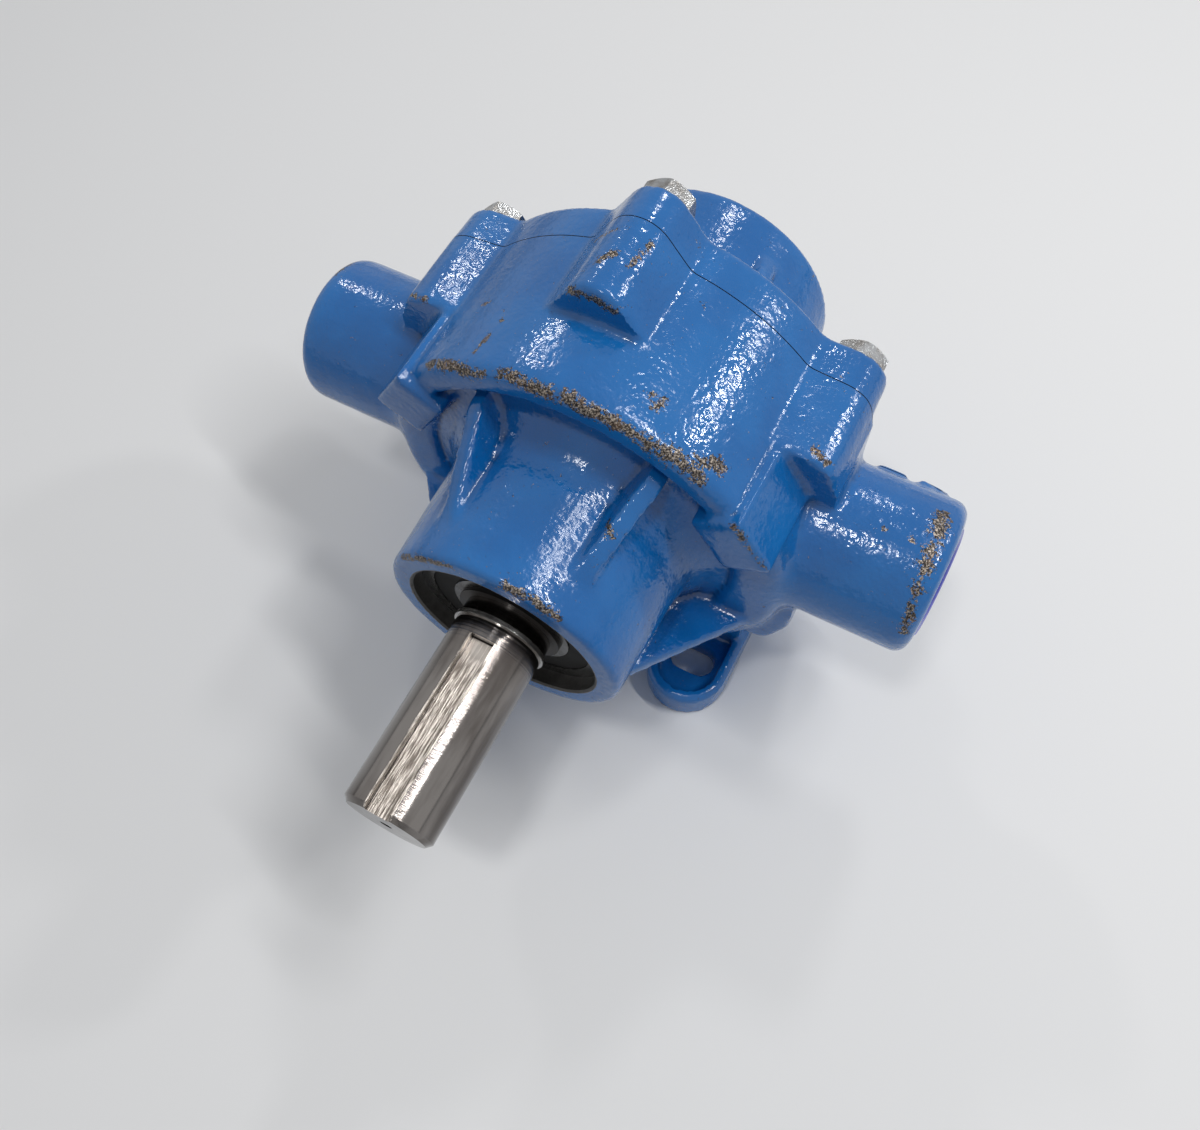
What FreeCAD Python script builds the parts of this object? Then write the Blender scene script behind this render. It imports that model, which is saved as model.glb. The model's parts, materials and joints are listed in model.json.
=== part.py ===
"""Roller pump, millimetres.

The drive shaft runs along Y and points to -Y, the ports run along X and the feet
stand on z = 0.  The origin is the centre of the four foot slots on that plane.
Distances named "front" are measured ahead of the origin, towards -Y, and
distances named "rear" behind it, towards +Y.
"""
import FreeCAD, Part
import Sketcher
import math
import os

os.makedirs("parts", exist_ok=True)
doc = FreeCAD.newDocument("roller_pump")

SIZES = [
    ("shaft_height", 73.0, "shaft axis above the foot plane"),
    ("shaft_radius", 11.906, "drive shaft, 15/16 inch"),
    ("shaft_front", 118.5, "front end of the shaft"),
    ("shaft_chamfer", 1.3, "chamfer on the front end"),
    ("keyway_width", 6.35, "keyway for a 1/4 inch key"),
    ("keyway_depth", 3.0, "keyway below the shaft surface"),
    ("keyway_gap", 6.4, "inner end of the keyway ahead of the front hub"),
    ("centre_drill_radius", 1.6, "centre drill in the shaft end"),
    ("centre_drill_depth", 4.0, "depth of the centre drill"),
    ("body_drop", 3.0, "axis of body, chamber and bolt circle, below the shaft axis"),
    ("body_radius", 58.3, "outer radius of body and end plate"),
    ("body_front", 25.5, "front wall of the body"),
    ("body_front_round", 5.0, "soft front edge of the body"),
    ("hood_front", 28.5, "front of the hood, the upper part of the body"),
    ("hood_low", 29.0, "lower end of the hood, above the shaft axis"),
    ("hood_round", 3.5, "front edge of the hood"),
    ("pocket_radius", 51.0, "outside of the pocket under the hood's rim, about the body's axis"),
    ("pocket_floor", 23.5, "floor of the pocket and of the recess round the hub"),
    ("recess_radius", 44.5, "recess round the hub's root"),
    ("cove_radius", 11.0, "hollow fillet between the hub and the floor of the recess"),
    ("parting", 16.5, "joint between body and end plate"),
    ("pad_reach", 45.2, "upper corner of a pad at the hood's end, from the middle plane"),
    ("pad_high", 37.2, "upper corner of a pad, above the shaft axis"),
    ("pad_angle", 32.5, "fall of a pad's upper edge towards the middle, in degrees"),
    ("pad_width", 14.2, "pad along its upper edge"),
    ("pad_length", 18.0, "pad down its outer side"),
    ("pad_front", 30.8, "front of a pad"),
    ("flank_reach", 61.0, "flat side of the body at the joint, from the middle plane"),
    ("flank_high", 37.5, "upper and lower end of that side, from the body's axis"),
    ("flank_corner", 3.5, "corner of that side, measured sideways"),
    ("flank_slope", 8.5, "corner of that side, measured upwards"),
    ("flank_front", 20.0, "front of that side below the pads"),
    ("flank_top", 24.0, "upper end of that front part, from the body's axis"),
    ("chamber_radius", 43.0, "pump chamber"),
    ("chamber_front", 17.0, "front face of the chamber"),
    ("hub_radius", 32.4, "front hub at its lip"),
    ("hub_root_radius", 34.0, "front hub where it meets the wall"),
    ("hub_front", 65.1, "front face of the front hub"),
    ("hub_lip_round", 1.6, "outer edge of both hub lips"),
    ("rear_hub_radius", 34.5, "rear hub"),
    ("rear_hub_end", 61.0, "rear face of the rear hub"),
    ("rear_rib_end", 52.0, "rear tip of a rib on the rear hub"),
    ("rear_rib_reach", 43.0, "rear rib's height on the plate, from the shaft axis"),
    ("plate_thickness", 11.0, "end plate without its hub"),
    ("plate_round", 1.5, "rear edge of the end plate"),
    ("bolt_circle", 59.6, "radius of the circle of bolts, about the body's axis"),
    ("bolt_angle", 30.9, "side bolts above and below the body's axis, in degrees"),
    ("bolt_lead_angle", 2.6, "top and bottom bolts past the middle plane, in degrees"),
    ("bolt_radius", 3.97, "5/16 inch bolt"),
    ("bolt_length", 24.0, "bolt below its head"),
    ("bolt_head_width", 12.7, "across the flats of a bolt head"),
    ("bolt_head_height", 4.9, "height of a bolt head"),
    ("boss_radius", 8.9, "bolt boss at the joint"),
    ("boss_front", 7.0, "front end of a bolt boss, and of the flange"),
    ("boss_round", 1.5, "front edge of a bolt boss"),
    ("boss_rise", 0.2, "boss seat behind the end plate's face"),
    ("boss_draft", 1.5, "draft of the end plate's bosses, in degrees"),
    ("web_flare", 36.0, "side of a boss's web to its middle plane, in degrees"),
    ("web_depth", 14.0, "inner edge of a boss's web, inside the bolt circle"),
    ("port_radius", 20.7, "port boss"),
    ("port_reach", 90.8, "port face from the middle plane"),
    ("port_front", 2.3, "port axis ahead of the origin"),
    ("port_round", 4.0, "outer edge of a port"),
    ("thread_radius", 12.4, "3/4 inch taper pipe thread at mid depth, as a plain bore"),
    ("thread_depth", 21.0, "threaded length of a port"),
    ("thread_relief", 13.8, "countersink at the mouth of a port"),
    ("passage_radius", 9.5, "passage from the port to the chamber"),
    ("passage_start", 30.0, "inner end of the passage's cut, inside the chamber"),
    ("rib_angle", 57.5, "upper rib above the port axis"),
    ("rib_thickness", 5.0, "upper rib"),
    ("rib_front", 57.0, "front tip of an upper rib"),
    ("rib_reach", 45.0, "upper rib's outer end, from the shaft axis"),
    ("arrow_start", 66.0, "tail of the flow arrow, from the middle plane"),
    ("arrow_break", 73.0, "end of the arrow's tail"),
    ("arrow_neck", 77.0, "root of the arrow's head"),
    ("arrow_tip", 85.0, "tip of the arrow"),
    ("arrow_stem", 2.2, "half width of the arrow's tail"),
    ("arrow_head", 5.0, "half width of the arrow's head"),
    ("arrow_rise", 1.2, "arrow above the side of the port"),
    ("arrow_angle", 67.0, "arrow's place round the port, from the top to the rear, in degrees"),
    ("web_drop", 19.5, "side web's middle below the shaft axis"),
    ("web_thickness", 5.0, "side web"),
    ("web_front", 53.0, "front tip of a side web"),
    ("web_hub_reach", 30.0, "side web's inner tip, from the middle plane"),
    ("web_reach", 51.0, "side web on the wall, from the middle plane"),
    ("foot_spread", 36.5, "middle of a foot, from the middle plane"),
    ("foot_half_width", 12.5, "half width of a foot, radius of its ends"),
    ("foot_reach", 40.5, "front and rear tip of a foot"),
    ("foot_height", 12.0, "height of a foot"),
    ("foot_rim", 3.4, "raised rim round the top of a foot"),
    ("foot_recess", 5.0, "recess inside the rim"),
    ("foot_round", 1.5, "upper edge of a foot"),
    ("slot_reach", 24.0, "slot centre ahead of and behind the origin"),
    ("slot_radius", 4.8, "half the width of a slot"),
    ("slot_length", 14.0, "slot from end to end"),
    ("leg_half_length", 14.0, "half length of the leg above a foot"),
    ("leg_half_width", 10.5, "half width of the leg above a foot"),
    ("bearing_radius", 26.0, "outside of a bearing, 52 mm"),
    ("bearing_width", 15.0, "width of a bearing"),
    ("bearing_recess", 4.5, "front bearing behind the hub's face"),
    ("rear_bearing_rear", 54.0, "rear face of the rear bearing"),
    ("ball_radius", 3.97, "bearing ball, 5/16 inch"),
    ("ring_wall", 4.45, "wall of a bearing's ring beside its race"),
    ("shield_seat", 0.8, "seal's seat beyond the outer ring's shoulder"),
    ("shield_thickness", 1.1, "bearing seal"),
    ("shield_inset", 0.4, "bearing seal below the ring's face"),
    ("cage_gap", 1.0, "cage to either ring"),
    ("cage_width", 9.4, "width of the cage"),
    ("wall_hole_radius", 12.8, "hole in the wall for the shaft"),
    ("wall_land", 3.0, "wall left between the chamber and a seal"),
    ("seal_radius", 19.05, "outside of a shaft seal"),
    ("seal_width", 8.0, "width of a shaft seal"),
    ("seal_skin", 1.2, "metal of a seal's case"),
    ("seal_flange_radius", 15.6, "hole in the seal's case"),
    ("lip_radius", 13.6, "outside of the seal's lip"),
    ("lip_root", 3.2, "rubber behind the seal's case"),
    ("lip_length", 6.4, "lip of the seal"),
    ("spring_radius", 0.8, "coiled wire of the garter spring"),
    ("weep_radius", 2.5, "weep hole under a hub"),
    ("ring_width", 1.2, "retaining ring on the shaft"),
    ("ring_radius", 14.2, "outside of a retaining ring"),
    ("ring_groove", 0.7, "depth of a retaining ring's groove"),
    ("stop_ring_gap", 0.7, "bright ring ahead of the front hub"),
    ("stop_ring_radius", 12.6, "outside of the bright ring"),
    ("cap_thickness", 2.4, "rear dust cap"),
    ("cap_inset", 0.8, "rear dust cap below the hub's face"),
    ("rotor_radius", 39.4, "rotor"),
    ("end_clearance", 0.15, "rotor and rollers to each end face"),
    ("roller_radius", 7.94, "roller, 5/8 inch"),
    ("roller_circle", 31.0, "circle of the rollers' centres"),
    ("roller_round", 0.6, "edge of a roller"),
    ("slot_clearance", 0.25, "roller to its slot"),
    ("key_width", 6.35, "rotor key"),
    ("key_length", 24.0, "rotor key"),
    ("key_bite", 2.8, "rotor key above and below the shaft's surface"),
    ("oring_circle", 49.6, "circle of the end plate's O-ring"),
    ("oring_radius", 1.25, "section of the O-ring, squeezed"),
    ("groove_depth", 2.5, "O-ring groove"),
    ("groove_width", 3.2, "O-ring groove"),
    ("plug_flange_radius", 15.2, "flange of the outlet plug"),
    ("plug_flange", 2.4, "thickness of the plug's flange"),
    ("plug_depth", 12.0, "plug inside the port"),
    ("plug_wall", 1.6, "wall of the plug"),
    ("plug_clearance", 0.05, "plug to the bore"),
    ("seat_gap", 0.02, "between pressed pieces"),
    ("running_gap", 0.08, "between turning pieces"),
    ("bolt_gap", 0.35, "bolt in the end plate"),
]
ROLLERS = 8
BALLS = 9
DRAWN_RADIUS = 50.0  # an outline is drawn on a circle, and its formulas then pull it into shape

ABOUT_X = FreeCAD.Vector(1, 0, 0)
ABOUT_Y = FreeCAD.Vector(0, 1, 0)
ABOUT_Z = FreeCAD.Vector(0, 0, 1)
UPRIGHT = FreeCAD.Rotation()
BACK_TO_FRONT = FreeCAD.Rotation(ABOUT_Z, 180)
TURN = {
    "x": FreeCAD.Rotation(ABOUT_Y, 90),
    "y": FreeCAD.Rotation(ABOUT_X, -90),
    "z": UPRIGHT,
}

sheet = doc.addObject("Spreadsheet::Sheet", "dim")
for row, (alias, number, meaning) in enumerate(SIZES, start=1):
    sheet.set(f"A{row}", alias)
    sheet.set(f"B{row}", str(number))
    sheet.set(f"C{row}", meaning)
    sheet.setAlias(f"B{row}", alias)
doc.recompute()

SIZE = {alias: number for alias, number, meaning in SIZES}
BODY_AXIS = "(dim.shaft_height - dim.body_drop)"
nodes = []


def bind(thing, **formulas):
    """Bind properties to formulas of the sheet's cells."""
    for name, formula in formulas.items():
        thing.setExpression(name, formula)


def place(thing, x="0", y="0", z="dim.shaft_height", turn=UPRIGHT):
    """Put a solid at a point given by formulas; the shaft axis is the default height."""
    thing.Placement = FreeCAD.Placement(FreeCAD.Vector(), turn)
    thing.setExpression("Placement.Base.x", x)
    thing.setExpression("Placement.Base.y", y)
    thing.setExpression("Placement.Base.z", z)
    return thing


def aim(thing, angle):
    """Turn a solid about Y until its own Z axis points at an angle above the X axis."""
    thing.Placement = FreeCAD.Placement(thing.Placement.Base, FreeCAD.Rotation(ABOUT_Y, 1))
    thing.setExpression("Placement.Rotation.Angle", f"90 - ({angle})")
    return thing


def cylinder(name, radius, start, end, axis="y", x="0", y="0", z="dim.shaft_height"):
    """A cylinder between two stations along one axis."""
    solid = doc.addObject("Part::Cylinder", name)
    bind(solid, Radius=radius, Height=f"({end}) - ({start})")
    return place(solid, turn=TURN[axis], **{"x": x, "y": y, "z": z, axis: start})


def cone(name, first, last, start, end, axis="y", x="0", y="0", z="dim.shaft_height"):
    """A truncated cone between two stations along one axis."""
    solid = doc.addObject("Part::Cone", name)
    bind(solid, Radius1=first, Radius2=last, Height=f"({end}) - ({start})")
    return place(solid, turn=TURN[axis], **{"x": x, "y": y, "z": z, axis: start})


def torus(name, circle, section, y, z="dim.shaft_height"):
    """A ring of round section about an axis along Y."""
    solid = doc.addObject("Part::Torus", name)
    bind(solid, Radius1=circle, Radius2=section)
    return place(solid, y=y, z=z, turn=TURN["y"])


def box(name, x_low, x_high, y_low, y_high, z_low, z_high):
    """A box between two corners given by formulas."""
    solid = doc.addObject("Part::Box", name)
    bind(
        solid,
        Length=f"({x_high}) - ({x_low})",
        Width=f"({y_high}) - ({y_low})",
        Height=f"({z_high}) - ({z_low})",
    )
    return place(solid, x_low, y_low, z_low)


def fuse(name, solids):
    joined = doc.addObject("Part::MultiFuse", name)
    joined.Shapes = solids
    joined.Refine = True
    return joined


def cut(name, base, tools):
    """The base less one tool, or less several joined ones."""
    tool = tools[0]
    if len(tools) > 1:
        tool = doc.addObject("Part::MultiFuse", name + "_tools")
        tool.Shapes = tools
    result = doc.addObject("Part::Cut", name)
    result.Base = base
    result.Tool = tool
    return result


def common(name, first, second):
    result = doc.addObject("Part::MultiCommon", name)
    result.Shapes = [first, second]
    return result


def compound(name, solids):
    group = doc.addObject("Part::Compound", name)
    group.Links = solids
    return group


def rounded(name, base, radius, wanted):
    """Fillet the edges of base that the test wanted(edge) picks."""
    doc.recompute()
    picked = [i for i, edge in enumerate(base.Shape.Edges, start=1) if wanted(edge)]
    if not picked:
        raise RuntimeError(f"{name}: no edge to round")
    fillet = doc.addObject("Part::Fillet", name)
    fillet.Base = base
    fillet.Edges = [(i, SIZE[radius], SIZE[radius]) for i in picked]
    return fillet


def circle_at(station, radius, direction="y"):
    """A test for round edges of one radius at one station along an axis."""
    def wanted(edge):
        curve = edge.Curve
        if not isinstance(curve, Part.Circle):
            return False
        middle = getattr(curve.Center, direction)
        return abs(middle - station) < 0.01 and abs(curve.Radius - radius) < 0.01
    return wanted


def outline(body, name, role, points):
    """A closed outline in one of the body's origin planes, each corner set by two formulas."""
    sketch = body.newObject("Sketcher::SketchObject", name)
    plane = [f for f in body.Origin.OriginFeatures if f.Role == role][0]
    sketch.AttachmentSupport = [(plane, "")]
    sketch.MapMode = "FlatFace"
    count = len(points)
    start = [
        FreeCAD.Vector(DRAWN_RADIUS * math.cos(turn), DRAWN_RADIUS * math.sin(turn), 0)
        for turn in (2 * math.pi * i / count for i in range(count))
    ]
    for i in range(count):
        sketch.addGeometry(Part.LineSegment(start[i], start[(i + 1) % count]), False)
    for i in range(count):
        sketch.addConstraint(Sketcher.Constraint("Coincident", i, 2, (i + 1) % count, 1))
    for i, (across, up) in enumerate(points):
        for kind, formula in (("DistanceX", across), ("DistanceY", up)):
            index = sketch.addConstraint(Sketcher.Constraint(kind, -1, 1, i, 1, 1.0))
            sketch.renameConstraint(index, f"{kind}{i}")
            sketch.setExpression(f"Constraints.{kind}{i}", formula)
    return sketch


def plate(name, role, points, thickness, reverse=False, both_ways=False, draft=None):
    """A body made by padding one closed outline, its sides leaning inwards by the draft."""
    body = doc.addObject("PartDesign::Body", name)
    pad_name = name + "_pad"
    sketch = outline(body, name + "_outline", role, points)
    pad = body.newObject("PartDesign::Pad", pad_name)
    pad.Profile = sketch
    pad.setExpression("Length", thickness)
    pad.Reversed = reverse
    if both_ways:
        pad.SideType = "Symmetric"
    if draft:
        pad.setExpression("TaperAngle", f"-{draft}")
    return body


def turned(name, points):
    """A body turned about the Y axis from an outline of (radius, station along Y) corners."""
    body = doc.addObject("PartDesign::Body", name)
    sketch = outline(body, name + "_section", "XY_Plane", points)
    revolution = body.newObject("PartDesign::Revolution", name + "_turned")
    revolution.Profile = sketch
    revolution.ReferenceAxis = (sketch, ["V_Axis"])
    revolution.Angle = 360
    place(body)
    return body


def node(thing, label):
    thing.Label = label
    nodes.append(thing)
    return thing


def around(angle, radius, height="dim.shaft_height"):
    """Formulas for the x and z of a point on a circle about the shaft axis, or another height."""
    return f"{radius} * cos({angle})", f"{height} + {radius} * sin({angle})"


def bolt_places():
    """Angle, x and z of each bolt, as formulas."""
    rise, lead = "dim.bolt_angle", "dim.bolt_lead_angle"
    angles = (rise, f"90 + {lead}", f"180 - {rise}", f"180 + {rise}", f"270 + {lead}", f"360 - {rise}")
    return [(angle, *around(angle, "dim.bolt_circle", BODY_AXIS)) for angle in angles]


def boss_webs(name, start, end, draft=None):
    """The metal that joins each bolt boss to its casting, with sides tangent to the boss."""
    top_x = "dim.boss_radius * cos(dim.web_flare)"
    top_z = "dim.bolt_circle + dim.boss_radius * sin(dim.web_flare)"
    root_z = "dim.bolt_circle - dim.web_depth"
    drop = "(dim.boss_radius * sin(dim.web_flare) + dim.web_depth)"
    root_x = f"{top_x} + {drop} * tan(dim.web_flare)"
    webs = []
    for i, (angle, x, z) in enumerate(bolt_places()):
        corners = [(f"-({root_x})", root_z), (root_x, root_z), (top_x, top_z), (f"-({top_x})", top_z)]
        web = plate(f"{name}_web_{i}", "XZ_Plane", corners, f"({end}) - ({start})", reverse=True, draft=draft)
        webs.append(aim(place(web, y=start, z=BODY_AXIS), angle))
    return webs


def body_bosses():
    """The bolt bosses of the pump body, with soft front ends."""
    bosses = boss_webs("body", "-dim.boss_front", "dim.parting")
    for i, (angle, x, z) in enumerate(bolt_places()):
        boss = cylinder(f"body_boss_{i}", "dim.boss_radius", "-dim.boss_front", "dim.parting", x=x, z=z)
        front = circle_at(-SIZE["boss_front"], SIZE["boss_radius"])
        bosses.append(rounded(f"body_boss_soft_{i}", boss, "boss_round", front))
    return bosses


def plate_bosses():
    """The bolt bosses of the end plate, which narrow towards their seats."""
    seat = "dim.parting + dim.plate_thickness + dim.boss_rise"
    narrow = "dim.boss_radius - (dim.plate_thickness + dim.boss_rise) * tan(dim.boss_draft)"
    bosses = boss_webs("plate", "dim.parting", "dim.parting + dim.plate_thickness", "dim.boss_draft")
    for i, (angle, x, z) in enumerate(bolt_places()):
        bosses.append(cone(f"plate_boss_{i}", "dim.boss_radius", narrow, "dim.parting", seat, x=x, z=z))
    return bosses


def bolt_holes(name, gap, start, end):
    return [
        cylinder(f"{name}_{i}", f"dim.bolt_radius + {gap}", start, end, x=x, z=z)
        for i, (angle, x, z) in enumerate(bolt_places())
    ]


def mirrored(corners):
    """The corners and their mirror images in the middle plane, as one outline."""
    return corners + [(f"-({x})", z) for x, z in reversed(corners)]


def flanks():
    """The body's flat sides between the side bolts, further forward below the pads."""
    inner, outer = "dim.flank_reach - dim.flank_corner", "dim.flank_reach"
    high, low = "dim.flank_high", "dim.flank_high - dim.flank_slope"
    side = [(inner, high), (outer, low), (outer, f"-({low})"), (inner, f"-{high}")]
    front_side = [
        ("dim.flank_reach - 2 * dim.flank_corner", "dim.flank_top"),
        (outer, "dim.flank_top - 2 * dim.flank_slope"),
        (outer, "1.5 * dim.flank_slope - dim.flank_high"),
        ("dim.flank_reach - 1.5 * dim.flank_corner", "-dim.flank_high"),
    ]
    blocks = []
    shapes = (("flank", side, "dim.boss_front"), ("front_flank", front_side, "dim.flank_front"))
    for name, corners, front in shapes:
        block = plate(name, "XZ_Plane", mirrored(corners), f"{front} + dim.parting", reverse=True)
        blocks.append(place(block, y=f"-{front}", z=BODY_AXIS))
    return blocks


def hub_bores(name, wall, bearing, mouth, side):
    """Hole, seal seat, cavity and bearing seat, from the chamber's wall out to the hub's mouth.

    wall is the chamber face's station, bearing the bearing's inner face and mouth the
    hub's end; side is -1 towards the front and 1 towards the rear.
    """
    seal_inner = f"{wall} + {side} * dim.wall_land"
    seal_outer = f"{seal_inner} + {side} * dim.seal_width"

    def bore(part, radius, near, far):
        ends = (near, far) if side > 0 else (far, near)
        return cylinder(f"{name}_{part}", radius, *ends)

    weep_y = f"({seal_outer} + {bearing}) / 2"
    return [
        bore("shaft_hole", "dim.wall_hole_radius", f"{wall} - {side}", seal_inner),
        bore("seal_seat", "dim.seal_radius", seal_inner, seal_outer),
        bore("cavity", "dim.bearing_radius - dim.ring_wall", seal_outer, bearing),
        bore("bearing_seat", "dim.bearing_radius", bearing, f"{mouth} + {side}"),
        cylinder(
            f"{name}_weep", "dim.weep_radius", "dim.shaft_height - dim.hub_root_radius - 5",
            "dim.shaft_height - dim.wall_hole_radius", axis="z", y=weep_y, z="0",
        ),
    ]


def foot(name, side):
    """One foot: a rail with round ends, and the leg that carries the body."""
    middle = f"{side} * dim.foot_spread"
    straight = "dim.foot_reach - dim.foot_half_width"
    rail = box(
        f"{name}_rail",
        f"{middle} - dim.foot_half_width", f"{middle} + dim.foot_half_width",
        f"-({straight})", straight, "0", "dim.foot_height",
    )
    tips = [
        cylinder(
            f"{name}_tip_{end}", "dim.foot_half_width", "0", "dim.foot_height",
            axis="z", x=middle, y=f"{way} * ({straight})",
        )
        for end, way in (("front", -1), ("rear", 1))
    ]
    whole = fuse(f"{name}_whole", [rail] + tips)

    def upper_edge(edge):
        box_of_edge = edge.BoundBox
        return abs(box_of_edge.ZMin - SIZE["foot_height"]) < 0.01 and box_of_edge.ZLength < 0.01

    soft = rounded(f"{name}_soft", whole, "foot_round", upper_edge)
    leg = box(
        f"{name}_leg",
        f"{middle} - dim.leg_half_width", f"{middle} + dim.leg_half_width",
        "-dim.leg_half_length", "dim.leg_half_length",
        "dim.foot_height / 2", "dim.shaft_height - dim.port_radius",
    )
    return [soft, leg]


def foot_cuts(name, side):
    """The slots of one foot, and the recesses round them."""
    middle = f"{side} * dim.foot_spread"
    inner = "dim.foot_half_width - dim.foot_rim"
    tip = "dim.foot_reach - dim.foot_half_width"
    floor = "dim.foot_height - dim.foot_recess"
    half_run = "(dim.slot_length / 2 - dim.slot_radius)"
    tools = []
    for end, way in (("front", -1), ("rear", 1)):
        near, far = f"{way} * dim.leg_half_length", f"{way} * ({tip})"
        low, high = (far, near) if way < 0 else (near, far)
        tools.append(box(
            f"{name}_{end}_recess", f"{middle} - ({inner})", f"{middle} + {inner}",
            low, high, floor, "dim.foot_height + 1",
        ))
        tools.append(cylinder(
            f"{name}_{end}_recess_tip", inner, floor, "dim.foot_height + 1", axis="z", x=middle, y=far,
        ))
        slot_y = f"{way} * dim.slot_reach"
        tools.append(box(
            f"{name}_{end}_slot", f"{middle} - {half_run}", f"{middle} + {half_run}",
            f"{slot_y} - dim.slot_radius", f"{slot_y} + dim.slot_radius", "-1", "dim.foot_height",
        ))
        for edge, shift in (("inner", -1), ("outer", 1)):
            tools.append(cylinder(
                f"{name}_{end}_slot_{edge}", "dim.slot_radius", "-1", "dim.foot_height",
                axis="z", x=f"{middle} + {shift} * {half_run}", y=slot_y,
            ))
    return tools


def port(name, side):
    """A port boss along X, with a soft outer edge."""
    near, far = f"{side} * dim.chamber_radius", f"{side} * dim.port_reach"
    ends = (near, far) if side > 0 else (far, near)
    boss = cylinder(f"{name}_boss", "dim.port_radius", *ends, axis="x", y="-dim.port_front")
    return rounded(
        f"{name}_soft", boss, "port_round",
        circle_at(side * SIZE["port_reach"], SIZE["port_radius"], "x"),
    )


def port_bores(name, side):
    """Threaded bore, its countersink and the passage to the chamber."""
    def bore(part, radius, near, far):
        ends = (near, far) if side > 0 else (far, near)
        return cylinder(f"{name}_{part}", radius, *ends, axis="x", y="-dim.port_front")

    face = f"{side} * dim.port_reach"
    inner = f"{side} * (dim.port_reach - dim.thread_depth)"
    sink_depth = "(dim.thread_relief - dim.thread_radius)"
    sink_start = f"{side} * (dim.port_reach - {sink_depth})"
    radii = ("dim.thread_radius", "dim.thread_relief")
    if side > 0:
        sink = cone(f"{name}_sink", *radii, sink_start, face, axis="x", y="-dim.port_front")
    else:
        sink = cone(f"{name}_sink", *reversed(radii), face, sink_start, axis="x", y="-dim.port_front")
    return [
        bore("thread", "dim.thread_radius", inner, f"{face} + {side}"),
        bore("passage", "dim.passage_radius", f"{side} * dim.passage_start", inner),
        sink,
    ]


def flow_arrow():
    """A raised arrow on the rear side of the outlet port: a short bar and a head."""
    stem, head = "dim.arrow_stem", "dim.arrow_head"
    bar = [("dim.arrow_start", f"-{stem}"), ("dim.arrow_break", f"-{stem}"),
           ("dim.arrow_break", stem), ("dim.arrow_start", stem)]
    point = [("dim.arrow_neck", f"-{head}"), ("dim.arrow_tip", "0"), ("dim.arrow_neck", head)]
    marks = []
    for name, corners in (("arrow_bar", bar), ("arrow_point", point)):
        mark = plate(name, "XY_Plane", corners, "dim.port_radius + dim.arrow_rise")
        place(mark, y="-dim.port_front", turn=FreeCAD.Rotation(ABOUT_X, 1))
        mark.setExpression("Placement.Rotation.Angle", "-dim.arrow_angle")
        marks.append(mark)
    return marks


def front_walls():
    """The drum with its hood, the pocket and the recess in its front, and the pads."""
    drum = rounded(
        "drum",
        cylinder("drum_blank", "dim.body_radius", "-dim.body_front", "dim.parting", z=BODY_AXIS),
        "body_front_round",
        circle_at(-SIZE["body_front"], SIZE["body_radius"]),
    )
    hood = rounded(
        "hood_round_edge",
        cylinder("hood_blank", "dim.body_radius", "-dim.hood_front", "dim.parting", z=BODY_AXIS),
        "hood_round",
        circle_at(-SIZE["hood_front"], SIZE["body_radius"]),
    )
    upper_half = box(
        "hood_room", "-dim.body_radius - 1", "dim.body_radius + 1", "-dim.hood_front - 1", "dim.parting",
        "dim.shaft_height + dim.hood_low", "dim.shaft_height + dim.body_radius",
    )
    walls = fuse("walls", [drum, common("hood", hood, upper_half)])
    recess = cylinder("recess", "dim.recess_radius", "-dim.hood_front - 1", "-dim.pocket_floor")
    return [cut("front_walls", walls, [pocket(), recess])] + pads()


def pad_point(along, down):
    """Formulas for a point on a pad: so far along its upper edge, and so far down its side."""
    x = f"dim.pad_reach - ({along}) * cos(dim.pad_angle) + ({down}) * sin(dim.pad_angle)"
    z = f"dim.pad_high - ({along}) * sin(dim.pad_angle) - ({down}) * cos(dim.pad_angle)"
    return x, z


def pocket():
    """The pocket under the hood's rim, above the upper edges of the pads."""
    disc = cylinder(
        "pocket_disc", "dim.pocket_radius", "-dim.hood_front - 1", "-dim.pocket_floor", z=BODY_AXIS
    )
    corners = [pad_point("dim.pad_width", "0"), pad_point("-dim.pad_width", "0")]
    corners.append((corners[1][0], "dim.pad_high + dim.pad_width + dim.pad_length"))
    room = plate(
        "pocket_room", "XZ_Plane", mirrored(corners), "dim.hood_front + 1 - dim.pocket_floor", reverse=True
    )
    return common("pocket", disc, place(room, y="-dim.hood_front - 1"))


def pads():
    """The square blocks that end the hood on both sides."""
    blocks = []
    for name, side in (("right", 1), ("left", -1)):
        corners = [
            pad_point("0", "0"), pad_point("dim.pad_width", "0"),
            pad_point("dim.pad_width", "dim.pad_length"), pad_point("0", "dim.pad_length"),
        ]
        corners = [(f"{side} * ({x})", z) for x, z in corners]
        block = plate(f"{name}_pad", "XZ_Plane", corners, "dim.pad_front", reverse=True)
        blocks.append(place(block, y="-dim.pad_front"))
    return blocks


def upper_rib(name, angle):
    """A triangular rib from the front hub out to the pocket's floor."""
    rib = plate(
        name,
        "YZ_Plane",
        [
            ("-dim.rib_front", "dim.hub_radius - 0.5"),
            ("-dim.hood_front", "dim.rib_reach"),
            ("-dim.pocket_floor + 1", "dim.rib_reach"),
            ("-dim.pocket_floor + 1", "dim.bearing_radius + 2"),
            ("-dim.rib_front", "dim.bearing_radius + 2"),
        ],
        "dim.rib_thickness",
        both_ways=True,
    )
    return aim(place(rib), angle)


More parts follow.
